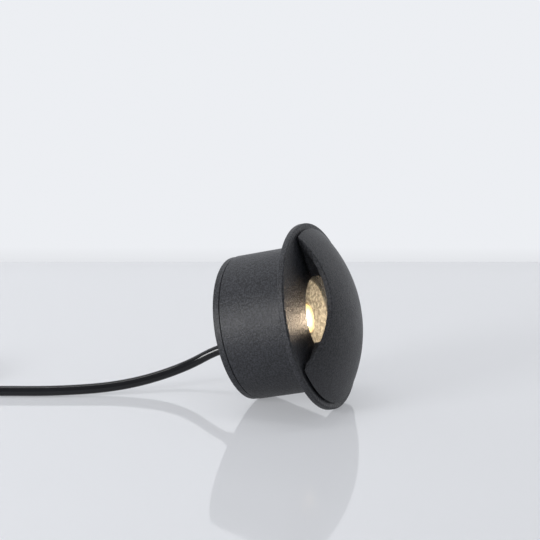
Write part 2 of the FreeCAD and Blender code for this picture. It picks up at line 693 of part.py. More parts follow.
def tie_screws():
    """Long screws from the rear cap through the barrel into the bezel."""
    seat = REAR_END + HEAD_HEIGHT_M3 + END_GAP
    tip = -SPIGOT_DEPTH + TIE_ENGAGEMENT
    places = [polar(SCREW_RADIUS, angle) for angle in TIE_SCREW_ANGLES]
    return [pan_screw(THREAD_M3, HEAD_M3, HEAD_HEIGHT_M3, tip, seat, place) for place in places]


def cord_bush():
    """Rubber bush in the rear cap: collar and tapered nose outside, neck through, barb inside."""
    place = (0, -BUSH_DROP)
    collar = disc(BUSH_COLLAR / 2, REAR_END - BUSH_COLLAR_THICKNESS, REAR_END, place)
    nose = cone(BUSH_NOSE_TIP / 2, BUSH_NECK / 2, BUSH_TIP, REAR_END - BUSH_COLLAR_THICKNESS, place)
    neck = disc(BUSH_NECK / 2, REAR_END, CAP_SPIGOT_END, place)
    barb = cone(BUSH_COLLAR / 2, BUSH_NECK / 2, CAP_SPIGOT_END + TOUCH, BUSH_END, place)
    join = disc(BUSH_NECK / 2, CAP_SPIGOT_END, CAP_SPIGOT_END + TOUCH, place)
    body = nose.fuse([collar, neck, join, barb]).removeSplitter()
    return body.cut(disc(CORD_DIAMETER / 2 + THREAD_FIT, BUSH_TIP, BUSH_END, place))


def placement():
    """Turn the light's axis down to its tilt and set its lower edges on the table."""
    turn = FreeCAD.Rotation(FreeCAD.Vector(1, 0, 0), 90 - TILT)
    return FreeCAD.Placement(FreeCAD.Vector(0, 0, 0), turn)


def set_down(pieces):
    """Place every piece, then move them together so that the object stands on the origin."""
    turn = placement()
    placed = {}
    for name, solids in pieces.items():
        placed[name] = [moved(solid, turn) for solid in solids]
    boxes = [solid.optimalBoundingBox() for solids in placed.values() for solid in solids]
    middle_y = (min(b.YMin for b in boxes) + max(b.YMax for b in boxes)) / 2
    floor = min(b.ZMin for b in boxes)
    shift = FreeCAD.Vector(0, -middle_y, -floor)
    for name, solids in placed.items():
        placed[name] = [moved(solid, FreeCAD.Placement(shift, FreeCAD.Rotation())) for solid in solids]
    return placed, FreeCAD.Placement(shift, turn.Rotation)


def moved(solid, place):
    """A copy of a solid with a placement put on top of its own."""
    copy = solid.copy()
    copy.Placement = place.multiply(copy.Placement)
    return copy


def on_coil(radius, angle, level):
    """A point over the table at a radius and an angle about the coil's centre."""
    turn = math.radians(angle)
    x = COIL_CENTRE[0] + radius * math.cos(turn)
    y = COIL_CENTRE[1] + radius * math.sin(turn)
    return spatial(x, y, level)


def cord_route(frame):
    """The cord's route as far as the coil: out of the bush, down to the table and along it."""
    return [
        frame.multVec(spatial(0, -BUSH_DROP, BUSH_END)),
        frame.multVec(spatial(0, -BUSH_DROP, BUSH_TIP - CORD_STRAIGHT)),
        spatial(*CORD_FALL),
        spatial(*CORD_NEAR_TABLE),
        spatial(*CORD_ON_TABLE[0], CORD_LYING),
        spatial(*CORD_ON_TABLE[1], CORD_LYING),
        on_coil(OUTER_TURN_RADIUS, ENTRY_ANGLE, CORD_LYING),
    ]


def coil_ring(inset):
    """The outer shape of two layers of turns, drawn in by an inset."""
    low = COIL_TURNS_WIDE * CORD_DIAMETER / 2 - inset
    high = low - CORD_DIAMETER / 2
    height = SECOND_LAYER + CORD_DIAMETER / 2 - inset
    outer_half = [(low, inset), (low, CORD_LYING), (high, height)]
    inner_half = [(-across, level) for across, level in reversed(outer_half)]
    points = [(COIL_DIAMETER / 2 + across, level) for across, level in outer_half + inner_half]
    edges = [line(start, end) for start, end in zip(points, points[1:] + points[:1])]
    body = revolved(edges)
    body.translate(FreeCAD.Vector(COIL_CENTRE[0], COIL_CENTRE[1], 0))
    return body


def tie_slab():
    """A slab across the coil where the tie goes round its turns."""
    corner = FreeCAD.Vector(0, -COIL_TIE_WIDTH / 2, 0)
    slab = Part.makeBox(COIL_DIAMETER, COIL_TIE_WIDTH, COIL_DIAMETER, corner)
    slab.rotate(FreeCAD.Vector(0, 0, 0), FreeCAD.Vector(0, 0, 1), COIL_TIE_ANGLE)
    slab.translate(FreeCAD.Vector(COIL_CENTRE[0], COIL_CENTRE[1], 0))
    return slab


def coil_tie():
    """Strap round the coil's turns."""
    return coil_ring(0).cut(coil_ring(COIL_TIE_THICKNESS)).common(tie_slab())


def cord_coil():
    """The coiled length of cord, as one solid of its outer shape, waisted under the tie."""
    return coil_ring(0).cut(coil_tie())


def tail_point(distance, level, aside=0.0):
    """A point on the straight line along which the cord's tail leaves the coil."""
    turn = math.radians(TAIL_ANGLE)
    along = spatial(math.sin(turn), -math.cos(turn), 0)
    outward = spatial(math.cos(turn), math.sin(turn), 0)
    return on_coil(TOP_TURN_RADIUS, TAIL_ANGLE, level) + along * distance + outward * aside


def cord_tail():
    """The sheathed end of the cord, over the coil's edge and down to the table beside it."""
    points = [
        tail_point(0, SECOND_LAYER),
        tail_point(TAIL_LENGTH / 3, SECOND_LAYER + TAIL_RISE),
        tail_point(TAIL_LENGTH * 2 / 3, CORD_LYING + TAIL_RISE),
        tail_point(TAIL_LENGTH, CORD_LYING),
    ]
    return tube(points, CORD_DIAMETER)[0]


def tail_core(side):
    """One insulated core beyond the sheath, and its bare tip."""
    near = side * CORE_SPACING / 2
    start = tail_point(TAIL_LENGTH + TOUCH, CORD_LYING, near)
    bend = tail_point(TAIL_LENGTH + CORE_END_LENGTH / 2, CORD_LYING, near + side * CORE_END_SPREAD / 4)
    tip = tail_point(TAIL_LENGTH + CORE_END_LENGTH, CORD_LYING, near + side * CORE_END_SPREAD)
    insulation = tube([start, bend, tip], CORE_DIAMETER)[0]
    copper = Part.makeCylinder(BARE_TIP_DIAMETER / 2, BARE_TIP_LENGTH, tip, tip - bend)
    return insulation, copper


def cord_pieces(frame):
    """The cord outside the housing, as far as its bare ends; prints what its path measures."""
    route = cord_route(frame)
    cord, length, radii = tube(route, CORD_DIAMETER)
    section = math.pi * CORD_DIAMETER ** 2 / 4
    print("free cord: length", round(length, 2), "arc radii", [round(radius, 1) for radius in radii])
    print("volume over section times length", round(cord.Volume / (section * length), 5))
    print("route", [tuple(round(value, 2) for value in point) for point in route])
    brown, brown_tip = tail_core(1)
    blue, blue_tip = tail_core(-1)
    return {
        "supply_cord": [cord],
        "cord_coil": [cord_coil()],
        "coil_tie": [coil_tie()],
        "cord_tail": [cord_tail()],
        "tail_core_brown": [brown],
        "tail_core_blue": [blue],
        "bare_tips": [brown_tip, blue_tip],
    }


def write(placed):
    """Write each piece to a file of its own."""
    os.makedirs("parts", exist_ok=True)
    for name, solids in placed.items():
        shape = solids[0] if len(solids) == 1 else Part.makeCompound(solids)
        if not shape.isValid():
            raise ValueError(name + " is not a valid solid")
        shape.exportStep("parts/" + name + ".step")


def main():
    """Build every piece, place it and write it."""
    pieces = {
        "bezel": [bezel()],
        "eyelid_hood": [eyelid_hood()],
        "hood_screws": hood_screws(),
        "window_gasket": [window_gasket()],
        "window_glass": [window_glass()],
        "retaining_ring": [retaining_ring()],
        "reflector": [reflector()],
        "led_emitter": [led_emitter()],
        "led_board": [led_board()],
        "thermal_pad": [thermal_pad()],
        "board_screws": board_screws(),
        "heat_spreader": [heat_spreader()],
        "lead_red": [lead(-LEAD_SPACING / 2)],
        "lead_black": [lead(LEAD_SPACING / 2)],
        "output_connector": [output_connector()],
        "driver_board": [driver_board()],
        "driver_standoffs": standoffs(),
        "driver_screws": driver_screws(),
        "film_capacitor": [film_capacitor()],
        "bridge_rectifier": [rectifier()],
        "transformer": [transformer()],
        "electrolytic_capacitor": [electrolytic_capacitor()],
        "terminal_block": [terminal_block()],
        "core_brown": [supply_core(1)],
        "core_blue": [supply_core(-1)],
        "housing_barrel": [housing_barrel()],
        "front_seal": [o_ring(BORE_RADIUS, -SPIGOT_DEPTH / 2)],
        "rear_seal": [o_ring(REAR_BORE_RADIUS, (BARREL_REAR + CAP_SPIGOT_END) / 2)],
        "rear_cap": [rear_cap()],
        "tie_screws": tie_screws(),
        "cord_bush": [cord_bush()],
    }
    placed, frame = set_down(pieces)
    placed.update(cord_pieces(frame))
    write(placed)


main()
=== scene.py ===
"""Looks of a recessed step light that lies on a table, its mouth to one side and its cord put away.

Every new piece is drawn about the light's own axis in millimetres and then placed in the frame, in metres.
"""

import json
import logging
import math
from dataclasses import dataclass, field
from enum import Enum
from typing import Iterable

import bmesh
import bpy
from mathutils import Matrix, Vector


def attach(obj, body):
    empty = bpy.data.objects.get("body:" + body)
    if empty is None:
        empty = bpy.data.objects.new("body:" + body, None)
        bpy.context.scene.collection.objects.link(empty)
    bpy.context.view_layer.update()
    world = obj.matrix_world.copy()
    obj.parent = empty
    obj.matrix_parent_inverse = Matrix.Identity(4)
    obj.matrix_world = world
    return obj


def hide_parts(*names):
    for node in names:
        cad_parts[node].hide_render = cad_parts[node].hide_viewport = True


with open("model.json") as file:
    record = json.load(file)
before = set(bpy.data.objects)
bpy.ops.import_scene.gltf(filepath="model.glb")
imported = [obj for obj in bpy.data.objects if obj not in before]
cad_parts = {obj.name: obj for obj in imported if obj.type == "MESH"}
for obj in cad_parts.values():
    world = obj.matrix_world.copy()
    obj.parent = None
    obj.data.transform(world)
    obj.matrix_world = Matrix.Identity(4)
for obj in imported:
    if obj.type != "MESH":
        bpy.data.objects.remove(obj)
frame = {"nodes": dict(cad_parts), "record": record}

log = logging.getLogger("step_light")
MM = 0.001
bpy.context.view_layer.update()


class Slot(Enum):
    """The record's material slots, listed by name; no piece in this script reads them."""

    CORD = "cord_sheath"
    PHOSPHOR = "phosphor"
    RUBBER = "black_rubber"
    PLASTIC = "black_plastic"
    SLEEVE = "capacitor_sleeve"
    TERMINAL = "green_plastic"
    FILM = "yellow_film"


# ---------------------------------------------------------------- where the light lies


@dataclass(frozen=True)
class LightAxis:
    """The light's own axes: across, up in the plane of the flange, and forward out of the hood."""

    origin: Vector
    forward: Vector

    @classmethod
    def from_record(cls, record: dict) -> "LightAxis":
        """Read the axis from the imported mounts.

        Args:
            record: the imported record, with its mounts.

        Returns:
            The axis, with its origin in the plane of the flange's back face.
        """
        mounts = {mount["name"]: mount for mount in record["mounts"]}
        forward = -Vector(mounts["flange_back"]["axis"]).normalized()
        barrel = Vector(mounts["barrel"]["pos_m"])
        depth = (Vector(mounts["flange_back"]["pos_m"]) - barrel).dot(forward)
        return cls(barrel + forward * depth, forward)

    def matrix(self) -> Matrix:
        """Go from millimetres on the light's own axes to metres in the frame.

        Returns:
            The transform.
        """
        across = Vector((1.0, 0.0, 0.0))
        up = self.forward.cross(across)
        turn = Matrix((across, up, self.forward)).transposed().to_4x4()
        return Matrix.Translation(self.origin) @ turn @ Matrix.Scale(MM, 4)

    def at(self, x: float, up: float, level: float) -> Vector:
        """The place in the frame of a point on the light's own axes, in millimetres."""
        return self.matrix() @ Vector((x, up, level))


AXIS = LightAxis.from_record(frame["record"])


# ---------------------------------------------------------------- finishes


@dataclass
class NodeBoard:
    """A material's node tree with short ways to add and join nodes."""

    material: bpy.types.Material

    @classmethod
    def named(cls, name: str) -> "NodeBoard":
        """Start an empty material.

        Args:
            name: the material's name.

        Returns:
            The board of a new material.
        """
        material = bpy.data.materials.new(name)
        material.use_nodes = True
        material.node_tree.nodes.clear()
        return cls(material)

    def add(self, kind: str, **settings: object) -> bpy.types.Node:
        """Add a node.

        Args:
            kind: the node's type, without its ShaderNode prefix.
            settings: the node's own settings.

        Returns:
            The node.
        """
        node = self.material.node_tree.nodes.new("ShaderNode" + kind)
        for name, value in settings.items():
            setattr(node, name, value)
        return node

    def join(self, source: bpy.types.NodeSocket, target: bpy.types.NodeSocket) -> None:
        """Link an output to an input."""
        self.material.node_tree.links.new(source, target)

    def wire(self, node: bpy.types.Node, **sources: bpy.types.NodeSocket) -> None:
        """Link outputs to a node's named inputs, with underscores for spaces."""
        for name, source in sources.items():
            self.join(source, node.inputs[name.replace("_", " ")])

    def principled(self, **values: object) -> bpy.types.Node:
        """Add a Principled shader with plain values on its own sockets.

        Args:
            values: socket names, with underscores for spaces, and their values.

        Returns:
            The shader node.
        """
        shader = self.add("BsdfPrincipled")
        for name, value in values.items():
            shader.inputs[name.replace("_", " ")].default_value = value
        return shader

    def finish(self, shader: bpy.types.Node) -> bpy.types.Material:
        """Send a shader to the output.

        Args:
            shader: the last shader node.

        Returns:
            The finished material.
        """
        output = self.add("OutputMaterial")
        self.join(shader.outputs[0], output.inputs["Surface"])
        return self.material

    def work_out(self, operation: str, *terms: object) -> bpy.types.NodeSocket:
        """Work something out from sockets and numbers.

        Args:
            operation: the Math node's operation.
            terms: its inputs, each a socket or a number.

        Returns:
            The result's socket.
        """
        node = self.add("Math", operation=operation)
        for target, term in zip(node.inputs, terms):
            if isinstance(term, bpy.types.NodeSocket):
                self.join(term, target)
            else:
                target.default_value = term
        return node.outputs[0]

    def mix(self, share: bpy.types.NodeSocket, first: bpy.types.Node,
            second: bpy.types.Node) -> bpy.types.Node:
        """Mix two shaders.

        Args:
            share: how much of the second one shows.
            first: a shader.
            second: the other.

        Returns:
            The mixing node.
        """
        mix = self.add("MixShader")
        for source, target in zip((share, first.outputs[0], second.outputs[0]), mix.inputs):
            self.join(source, target)
        return mix

    def noise(self, grain: float, detail: float = 2.0, roughness: float = 0.5,
              stretch: tuple = None) -> bpy.types.NodeSocket:
        """Add noise in the frame's own coordinates.

        Args:
            grain: the size of a grain in millimetres.
            detail: how many finer layers it has.
            roughness: how strong those are.
            stretch: scale factors along the axes, if the grain isn't even.

        Returns:
            The noise's socket.
        """
        where = self.add("TexCoord").outputs["Object"]
        if stretch is not None:
            mapping = self.add("Mapping")
            mapping.inputs["Scale"].default_value = stretch
            self.join(where, mapping.inputs["Vector"])
            where = mapping.outputs["Vector"]
        noise = self.add("TexNoise")
        noise.inputs["Scale"].default_value = 1.0 / (grain * MM)
        noise.inputs["Detail"].default_value = detail
        noise.inputs["Roughness"].default_value = roughness
        self.join(where, noise.inputs["Vector"])
        return noise.outputs["Fac"]

    def ramp(self, source: bpy.types.NodeSocket, stops: Iterable) -> bpy.types.NodeSocket:
        """Turn a value into a colour between two.

        Args:
            source: the value.
            stops: two pairs of a position and a colour.

        Returns:
            The colour's socket.
        """
        ramp = self.add("ValToRGB")
        for element, (position, colour) in zip(ramp.color_ramp.elements, stops):
            element.position = position
            element.color = (*colour, 1.0)
        self.join(source, ramp.inputs["Fac"])
        return ramp.outputs["Color"]

    def span(self, source: bpy.types.NodeSocket, low: float, high: float, top: float = 1.0,
             course: str = "LINEAR") -> bpy.types.NodeSocket:
        """Spread a value, from nought to its top, over a range.

        Args:
            source: the value.
            low: what nought becomes.
            high: what the top becomes.
            top: the value's top.
            course: how it goes from one to the other.

        Returns:
            The spread value's socket.
        """
        spread = self.add("MapRange", interpolation_type=course)
        spread.inputs["From Max"].default_value = top
        spread.inputs["To Min"].default_value = low
        spread.inputs["To Max"].default_value = high
        self.join(source, spread.inputs["Value"])
        return spread.outputs["Result"]

    def bump(self, height: bpy.types.NodeSocket, depth: float, strength: float,
             under: bpy.types.NodeSocket = None) -> bpy.types.NodeSocket:
        """Add a bump.

        Args:
            height: the height from 0 to 1.
            depth: the real depth in millimetres.
            strength: how much of it counts.
            under: a coarser bump that this one lies on.

        Returns:
            The normal's socket.
        """
        bump = self.add("Bump")
        bump.inputs["Strength"].default_value = strength
        bump.inputs["Distance"].default_value = depth * MM
        self.join(height, bump.inputs["Height"])
        if under is not None:
            self.join(under, bump.inputs["Normal"])
        return bump.outputs["Normal"]


@dataclass(frozen=True)
class PowderCoat:
    """Fine-textured dark powder coat: small smooth grains, each a little different in shade."""

    name: str = "powder_coat"
    dark: tuple = (0.0095, 0.0103, 0.0130)
    light: tuple = (0.049, 0.0515, 0.061)
    stops: tuple = (0.40, 0.63)
    grain: float = 0.72
    grain_detail: float = 3.0
    grain_roughness: float = 0.55
    fine_grain: float = 0.4
    cloud: float = 9.0
    depth: float = 0.20
    strength: float = 0.9
    fine_depth: float = 0.08
    fine_strength: float = 0.6
    peel: float = 1.5
    peel_depth: float = 0.12
    roughness: tuple = (0.40, 0.52)
    specular: float = 0.45

    def make(self) -> bpy.types.Material:
        """Build the material.

        Returns:
            The material.
        """
        board = NodeBoard.named(self.name)
        coarse = board.noise(self.grain, self.grain_detail, self.grain_roughness)
        shader = board.principled(Specular_IOR_Level=self.specular)
        tone = board.ramp(coarse, zip(self.stops, (self.dark, self.light)))
        peel = board.bump(board.noise(self.peel, 1.0), self.peel_depth, 1.0)
        rough = board.bump(coarse, self.depth, self.strength, peel)
        top = board.bump(board.noise(self.fine_grain), self.fine_depth, self.fine_strength, rough)
        gloss = board.span(board.noise(self.cloud), *self.roughness)
        board.wire(shader, Base_Color=tone, Roughness=gloss, Normal=top)
        return board.finish(shader)


@dataclass(frozen=True)
class Mottled:
    """A finish whose shade and gloss wander in soft patches, with a fine skin or marks on it."""

    name: str
    colour: tuple
    mottle: tuple
    roughness: tuple = (0.35, 0.5)
    stops: tuple = (0.3, 0.75)
    patch: float = 2.5
    patch_detail: float = 3.0
    skin: float = 0.3
    skin_depth: float = 0.01
    skin_strength: float = 0.5
    stretch: tuple = None
    metallic: float = 0.0
    specular: float = 0.5

    def make(self) -> bpy.types.Material:
        """Build the material.

        Returns:
            The material.
        """
        board = NodeBoard.named(self.name)
        patches = board.noise(self.patch, self.patch_detail)
        skin = board.noise(self.skin, stretch=self.stretch)
        shader = board.principled(Metallic=self.metallic, Specular_IOR_Level=self.specular)
        board.wire(shader, Base_Color=board.ramp(patches, zip(self.stops, (self.colour, self.mottle))),
                   Roughness=board.span(patches, *self.roughness),
                   Normal=board.bump(skin, self.skin_depth, self.skin_strength))
        return board.finish(shader)


@dataclass(frozen=True)
class Plastic(Mottled):
    """Moulded plastic or lacquer: an even colour with slight mottling and a fine skin."""


@dataclass(frozen=True)
class Rubber(Mottled):
    """Matt moulded rubber with a faint bloom."""

    name: str = "rubber"
    colour: tuple = (0.018, 0.018, 0.019)
    mottle: tuple = (0.035, 0.035, 0.036)
    roughness: tuple = (0.5, 0.7)
    stops: tuple = (0.3, 0.8)
    patch: float = 3.0
    patch_detail: float = 4.0
    skin: float = 0.25
    skin_depth: float = 0.015
    specular: float = 0.4


@dataclass(frozen=True)
class Metal(Mottled):
    """Bare metal with fine tool marks, and shade that wanders a little."""

    roughness: tuple = (0.22, 0.38)
    patch: float = 4.0
    skin: float = 0.18
    skin_depth: float = 0.004
    skin_strength: float = 0.6
    stretch: tuple = (1.0, 0.15, 1.0)
    metallic: float = 1.0


@dataclass(frozen=True)
class WindowGlass:
    """Clear window: what is behind it shows, and the lamps' light passes."""

    name: str = "clear_glass"
    tint: tuple = (0.97, 0.98, 0.97)
    smear: float = 6.0
    roughness: tuple = (0.02, 0.07)
    ior: float = 1.35

    def make(self) -> bpy.types.Material:
        """Build the material.

        Returns:
            The material.
        """
        board = NodeBoard.named(self.name)
        clear = board.add("BsdfTransparent")
        clear.inputs["Color"].default_value = (*self.tint, 1.0)
        gloss = board.add("BsdfGlossy")
        board.wire(gloss, Roughness=board.span(board.noise(self.smear), *self.roughness))
        edge = board.add("Fresnel")
        edge.inputs["IOR"].default_value = self.ior
        outside = board.work_out("SUBTRACT", 1.0, board.add("NewGeometry").outputs["Backfacing"])
        return board.finish(board.mix(board.work_out("MULTIPLY", edge.outputs[0], outside), clear, gloss))


@dataclass(frozen=True)
class LitPhosphor:
    """The lit disc: warm light, with its strength in the middle over the chips, and at the rim."""

    name: str = "lit_phosphor"
    fill: tuple = (0.95, 0.72, 0.25, 1.0)
    warm: tuple = (1.0, 0.80, 0.56)
    bright: tuple = (1.0, 0.896, 0.6272)
    stops: tuple = (0.3, 0.7)
    chip: float = 1.1
    strengths: tuple = (2.8, 0.3)
    roughness: float = 0.5
    radius: float = 6.2
    level: float = -4.0

    def make(self) -> bpy.types.Material:
        """Build the material.

        Returns:
            The material.
        """
        board = NodeBoard.named(self.name)
        shader = board.principled(Roughness=self.roughness, Base_Color=self.fill)
        centred = board.add("Mapping")
        centred.inputs["Location"].default_value = -AXIS.at(0.0, 0.0, self.level)
        board.wire(centred, Vector=board.add("TexCoord").outputs["Object"])
        away = board.add("VectorMath", operation="LENGTH")
        board.wire(away, Vector=centred.outputs["Vector"])
        fall = board.span(away.outputs["Value"], *self.strengths, self.radius * MM, "SMOOTHSTEP")
        tone = board.ramp(board.noise(self.chip, 1.0), zip(self.stops, (self.warm, self.bright)))
        board.wire(shader, Emission_Strength=fall, Emission_Color=tone)
        return board.finish(shader)


@dataclass(frozen=True)
class PeenedReflector:
    """Satin warm reflector with a hammered surface."""

    name: str = "peened_reflector"
    colour: tuple = (0.40, 0.38, 0.35)
    light: tuple = (0.96, 0.93, 0.88)
    stops: tuple = (0.3, 0.7)
    metallic: float = 0.85
    roughness: tuple = (0.24, 0.40)
    dimple: float = 1.35
    depth: float = 0.55

    def make(self) -> bpy.types.Material:
        """Build the material.

        Returns:
            The material.
        """
        board = NodeBoard.named(self.name)
        dimples = board.noise(self.dimple, 1.0)
        shader = board.principled(Metallic=self.metallic)
        board.wire(shader, Base_Color=board.ramp(dimples, zip(self.stops, (self.colour, self.light))),
                   Roughness=board.span(dimples, *self.roughness),
                   Normal=board.bump(dimples, self.depth, 1.0))
        return board.finish(shader)


# ---------------------------------------------------------------- stage, lamps and camera


def add_object(name: str, data: bpy.types.ID) -> bpy.types.Object:
    """Add an object to the scene.

    Args:
        name: its name.
        data: its mesh, curve, lamp or camera.

    Returns:
        The object.
    """
    item = bpy.data.objects.new(name, data)
    bpy.context.scene.collection.objects.link(item)
    return item


@dataclass(frozen=True)
class ViewPoint:
    """The photograph's camera, in millimetres and degrees."""

    place: tuple = (-690.4, -254.4, 218.7)
    heading: float = 69.04
    fall: float = 12.36
    roll: float = 1.33
    lens: float = 117.94
    sensor: float = 36.0
    nearest: float = 20.0
    farthest: float = 20000.0

    def make(self) -> None:
        """Create the camera and make it the scene's own."""
        heading, fall, roll = (math.radians(angle) for angle in (self.heading, self.fall, self.roll))
        flat = math.cos(fall)
        ahead = Vector((math.sin(heading) * flat, math.cos(heading) * flat, -math.sin(fall)))
        level = ahead.cross(Vector((0.0, 0.0, 1.0))).normalized()
        upright = level.cross(ahead)
        right = level * math.cos(roll) + upright * math.sin(roll)
        up = upright * math.cos(roll) - level * math.sin(roll)
        turn = Matrix((right, up, -ahead)).transposed().to_4x4()
        data = bpy.data.cameras.new("photo_camera")
        data.lens = self.lens
        data.sensor_width = self.sensor
        data.clip_start = self.nearest * MM
        data.clip_end = self.farthest * MM
        camera = add_object("photo_camera", data)
        camera.matrix_world = Matrix.Translation(Vector(self.place) * MM) @ turn
        bpy.context.scene.camera = camera


def hang(data: bpy.types.Light, place: Vector, target: Vector) -> bpy.types.Object:
    """Hang a lamp and point it.

    Args:
        data: the lamp's data.
        place: where it hangs, in metres.
        target: the point that it lights.

    Returns:
        The lamp object.
    """
    lamp = add_object(data.name, data)
    lamp.location = place
    lamp.rotation_mode = "QUATERNION"
    lamp.rotation_quaternion = (target - place).to_track_quat("-Z", "Y")
    log.info("hung %s", data.name)
    return lamp


@dataclass(frozen=True)
class Lamp:
    """A soft flat lamp: its places and its size are in millimetres, its power in watts."""

    name: str
    place: tuple
    target: tuple
    size: float
    power: float
    shape: str = "SQUARE"

    def data(self) -> bpy.types.Light:
        """Make the lamp's data.

        Returns:
            The data.
        """
        data = bpy.data.lights.new(self.name, "AREA")
        data.shape = self.shape
        data.size = self.size * MM
        data.energy = self.power
        return data


@dataclass(frozen=True)
class Stage:
    """Glossy pale table against a pale wall, with soft lamps over it."""

    table: tuple = (0.85, 0.865, 0.90)
    table_bounce: tuple = (0.20, 0.208, 0.22)
    table_ior: float = 1.365
    table_gloss: tuple = (0.035, 0.055)
    table_cloud: float = 60.0
    wall: tuple = (0.845, 0.862, 0.895)
    wall_bounce: tuple = (0.6, 0.61, 0.63)
    wall_heading: float = 62.7
    wall_distance: float = 1014.0
    # painted shade: the wall's colour at its foot, darker than the wall, where it meets the table
    painted_foot_shade: tuple = (0.775, 0.79, 0.82)
    wall_grain: float = 3.0
    wall_depth: float = 0.05
    wall_strength: float = 0.2
    wall_roughness: float = 0.9
    foot_shade_height: float = 9.0
    plain_share: float = 0.32
    reach: float = 4000.0
    world_colour: tuple = (0.95, 0.965, 1.0)
    world_strength: float = 0.36
    lamps: tuple = (
        Lamp("overhead_softbox", (420.0, 330.0, 1200.0), (0.0, 0.0, 0.0), 1000.0, 14.0),
        Lamp("side_softbox", (-790.0, 430.0, 260.0), (0.0, 0.0, 40.0), 300.0, 4.6),
    )

    def seen_directly(self, board: NodeBoard) -> bpy.types.NodeSocket:
        """One for rays from the camera, a mirror or a window, nought for scattered light.

        Args:
            board: the material that asks.

        Returns:
            The socket.
        """
        path = board.add("LightPath").outputs
        either = board.work_out("MAXIMUM", path["Is Camera Ray"], path["Is Glossy Ray"])
        return board.work_out("MAXIMUM", either, path["Is Transmission Ray"])

    def table_finish(self) -> bpy.types.Material:
        """Lacquered pale table top, which mirrors what stands on it softly.

        Returns:
            The material.
        """
        board = NodeBoard.named("table_lacquer")
        shader = board.principled(IOR=self.table_ior, Emission_Color=(*self.table, 1.0))
        seen = self.seen_directly(board)
        lit = tuple(channel * (1.0 - self.plain_share) for channel in self.table)
        board.wire(shader, Base_Color=board.ramp(seen, [(0.0, self.table_bounce), (1.0, lit)]),
                   Roughness=board.span(board.noise(self.table_cloud), *self.table_gloss),
                   Emission_Strength=board.work_out("MULTIPLY", seen, self.plain_share))
        return board.finish(shader)

    def wall_finish(self) -> bpy.types.Material:
        """Pale wall that shows its own colour, darkened at its foot by painted shade, bounces a plain light,
        and is clear from behind.

        Returns:
            The material.
        """
        board = NodeBoard.named("wall_paint")
        paint = board.principled(Roughness=self.wall_roughness, Base_Color=(*self.wall_bounce, 1.0))
        grain = board.bump(board.noise(self.wall_grain), self.wall_depth, self.wall_strength)
        board.wire(paint, Normal=grain)
        height = board.add("SeparateXYZ")
        board.wire(height, Vector=board.add("TexCoord").outputs["Object"])
        # Painted shade: the wall's colour darkens towards its foot over its lowest few millimetres.
        rise = board.span(height.outputs["Z"], 0.0, 1.0, self.foot_shade_height * MM)
        plain = board.add("Emission")
        board.wire(plain, Color=board.ramp(rise, [(0.0, self.painted_foot_shade), (1.0, self.wall)]))
        front = board.mix(self.seen_directly(board), paint, plain)
        behind = board.add("NewGeometry").outputs["Backfacing"]
        return board.finish(board.mix(behind, front, board.add("BsdfTransparent")))

    def build(self, view: ViewPoint) -> None:
        """Make the table, the wall and the lamps.

        Args:
            view: the camera, in front of which the wall stands.
        """
        heading = math.radians(self.wall_heading)
        ahead = Vector((math.sin(heading), math.cos(heading), 0.0))
        edge = Vector((*view.place[:2], 0.0)) * MM + ahead * (self.wall_distance * MM)
        far = self.reach * MM
        half_width = Vector((ahead.y, -ahead.x, 0.0)) * far / 2
        wall_top = edge + Vector((0.0, 0.0, far / 2))
        table = self.sheet("table", edge - ahead * far, edge + ahead * far, half_width, self.table_finish())
        wall = self.sheet("wall", edge, wall_top, half_width, self.wall_finish())
        world = bpy.data.worlds.new("studio")
        bpy.context.scene.world = world
        world.use_nodes = True
        background = world.node_tree.nodes["Background"]
        background.inputs["Color"].default_value = (*self.world_colour, 1.0)
        background.inputs["Strength"].default_value = self.world_strength
        for lamp in self.lamps:
            hang(lamp.data(), Vector(lamp.place) * MM, Vector(lamp.target) * MM)

    def sheet(self, name: str, low: Vector, high: Vector, half_width: Vector,
              finish: bpy.types.Material) -> bpy.types.Object:
        """Make a flat sheet.

        Args:
            name: the object's name.
            low: the middle of one end.
            high: the middle of the other.
            half_width: from the middle to one side.
            finish: its material.

        Returns:
            The object.
        """
        mesh = bmesh.new()
        corners = (low - half_width, low + half_width, high + half_width, high - half_width)
        mesh.faces.new([mesh.verts.new(corner) for corner in corners])
        data = bpy.data.meshes.new(name)
        mesh.to_mesh(data)
        mesh.free()
        data.materials.append(finish)
        return add_object(name, data)


@dataclass(frozen=True)
class MouthGlow:
    """The light's own beam, out of the mouth along the flange's floor, and soft lamps under the hood.

    Their places are a reach from the axis towards the mouth, a level on the axis, and a distance
    upwards from the mouth's middle, in millimetres.
    """

    direction: float = 155.3
    warm: tuple = (1.0, 0.78, 0.55)
    beam_place: tuple = (-9.0, 12.0, 0.0)
    beam_target: tuple = (31.0, 2.7, 0.0)
    beam_angle: float = 50.0
    beam_size: float = 2.0
    beam_power: float = 0.036
    lamps: tuple = (
        Lamp("bowl_fill", (-3.0, 4.0, 7.0), (-12.0, -1.5, 10.0), 5.0, 0.002, "DISK"),
        Lamp("bowl_glint", (-7.0, 4.0, -1.0), (-14.0, -1.5, -1.0), 3.0, 0.003, "DISK"),
        Lamp("wall_spill", (3.0, 4.0, 0.0), (-18.0, 8.0, 0.0), 6.0, 0.012, "DISK"),
    )

    def inside(self, place: tuple) -> Vector:
        """Find a place in the frame.

        Args:
            place: its reach, its level and its distance aside.

        Returns:
            The place in metres.
        """
        reach, level, aside = place
        turn = math.radians(self.direction)
        across, up = math.cos(turn), math.sin(turn)
        return AXIS.at(reach * across + aside * up, reach * up - aside * across, level)

    def build(self) -> None:
        """Make the beam and the soft lamps."""
        beam = bpy.data.lights.new("mouth_beam", "SPOT")
        beam.energy = self.beam_power
        beam.spot_size = math.radians(self.beam_angle)
        beam.spot_blend = 1.0
        beam.shadow_soft_size = self.beam_size * MM
        lines = [(beam, self.beam_place, self.beam_target)]
        lines += [(lamp.data(), lamp.place, lamp.target) for lamp in self.lamps]
        for data, place, target in lines:
            data.color = self.warm
            hang(data, self.inside(place), self.inside(target)).visible_camera = False


# ---------------------------------------------------------------- the cord


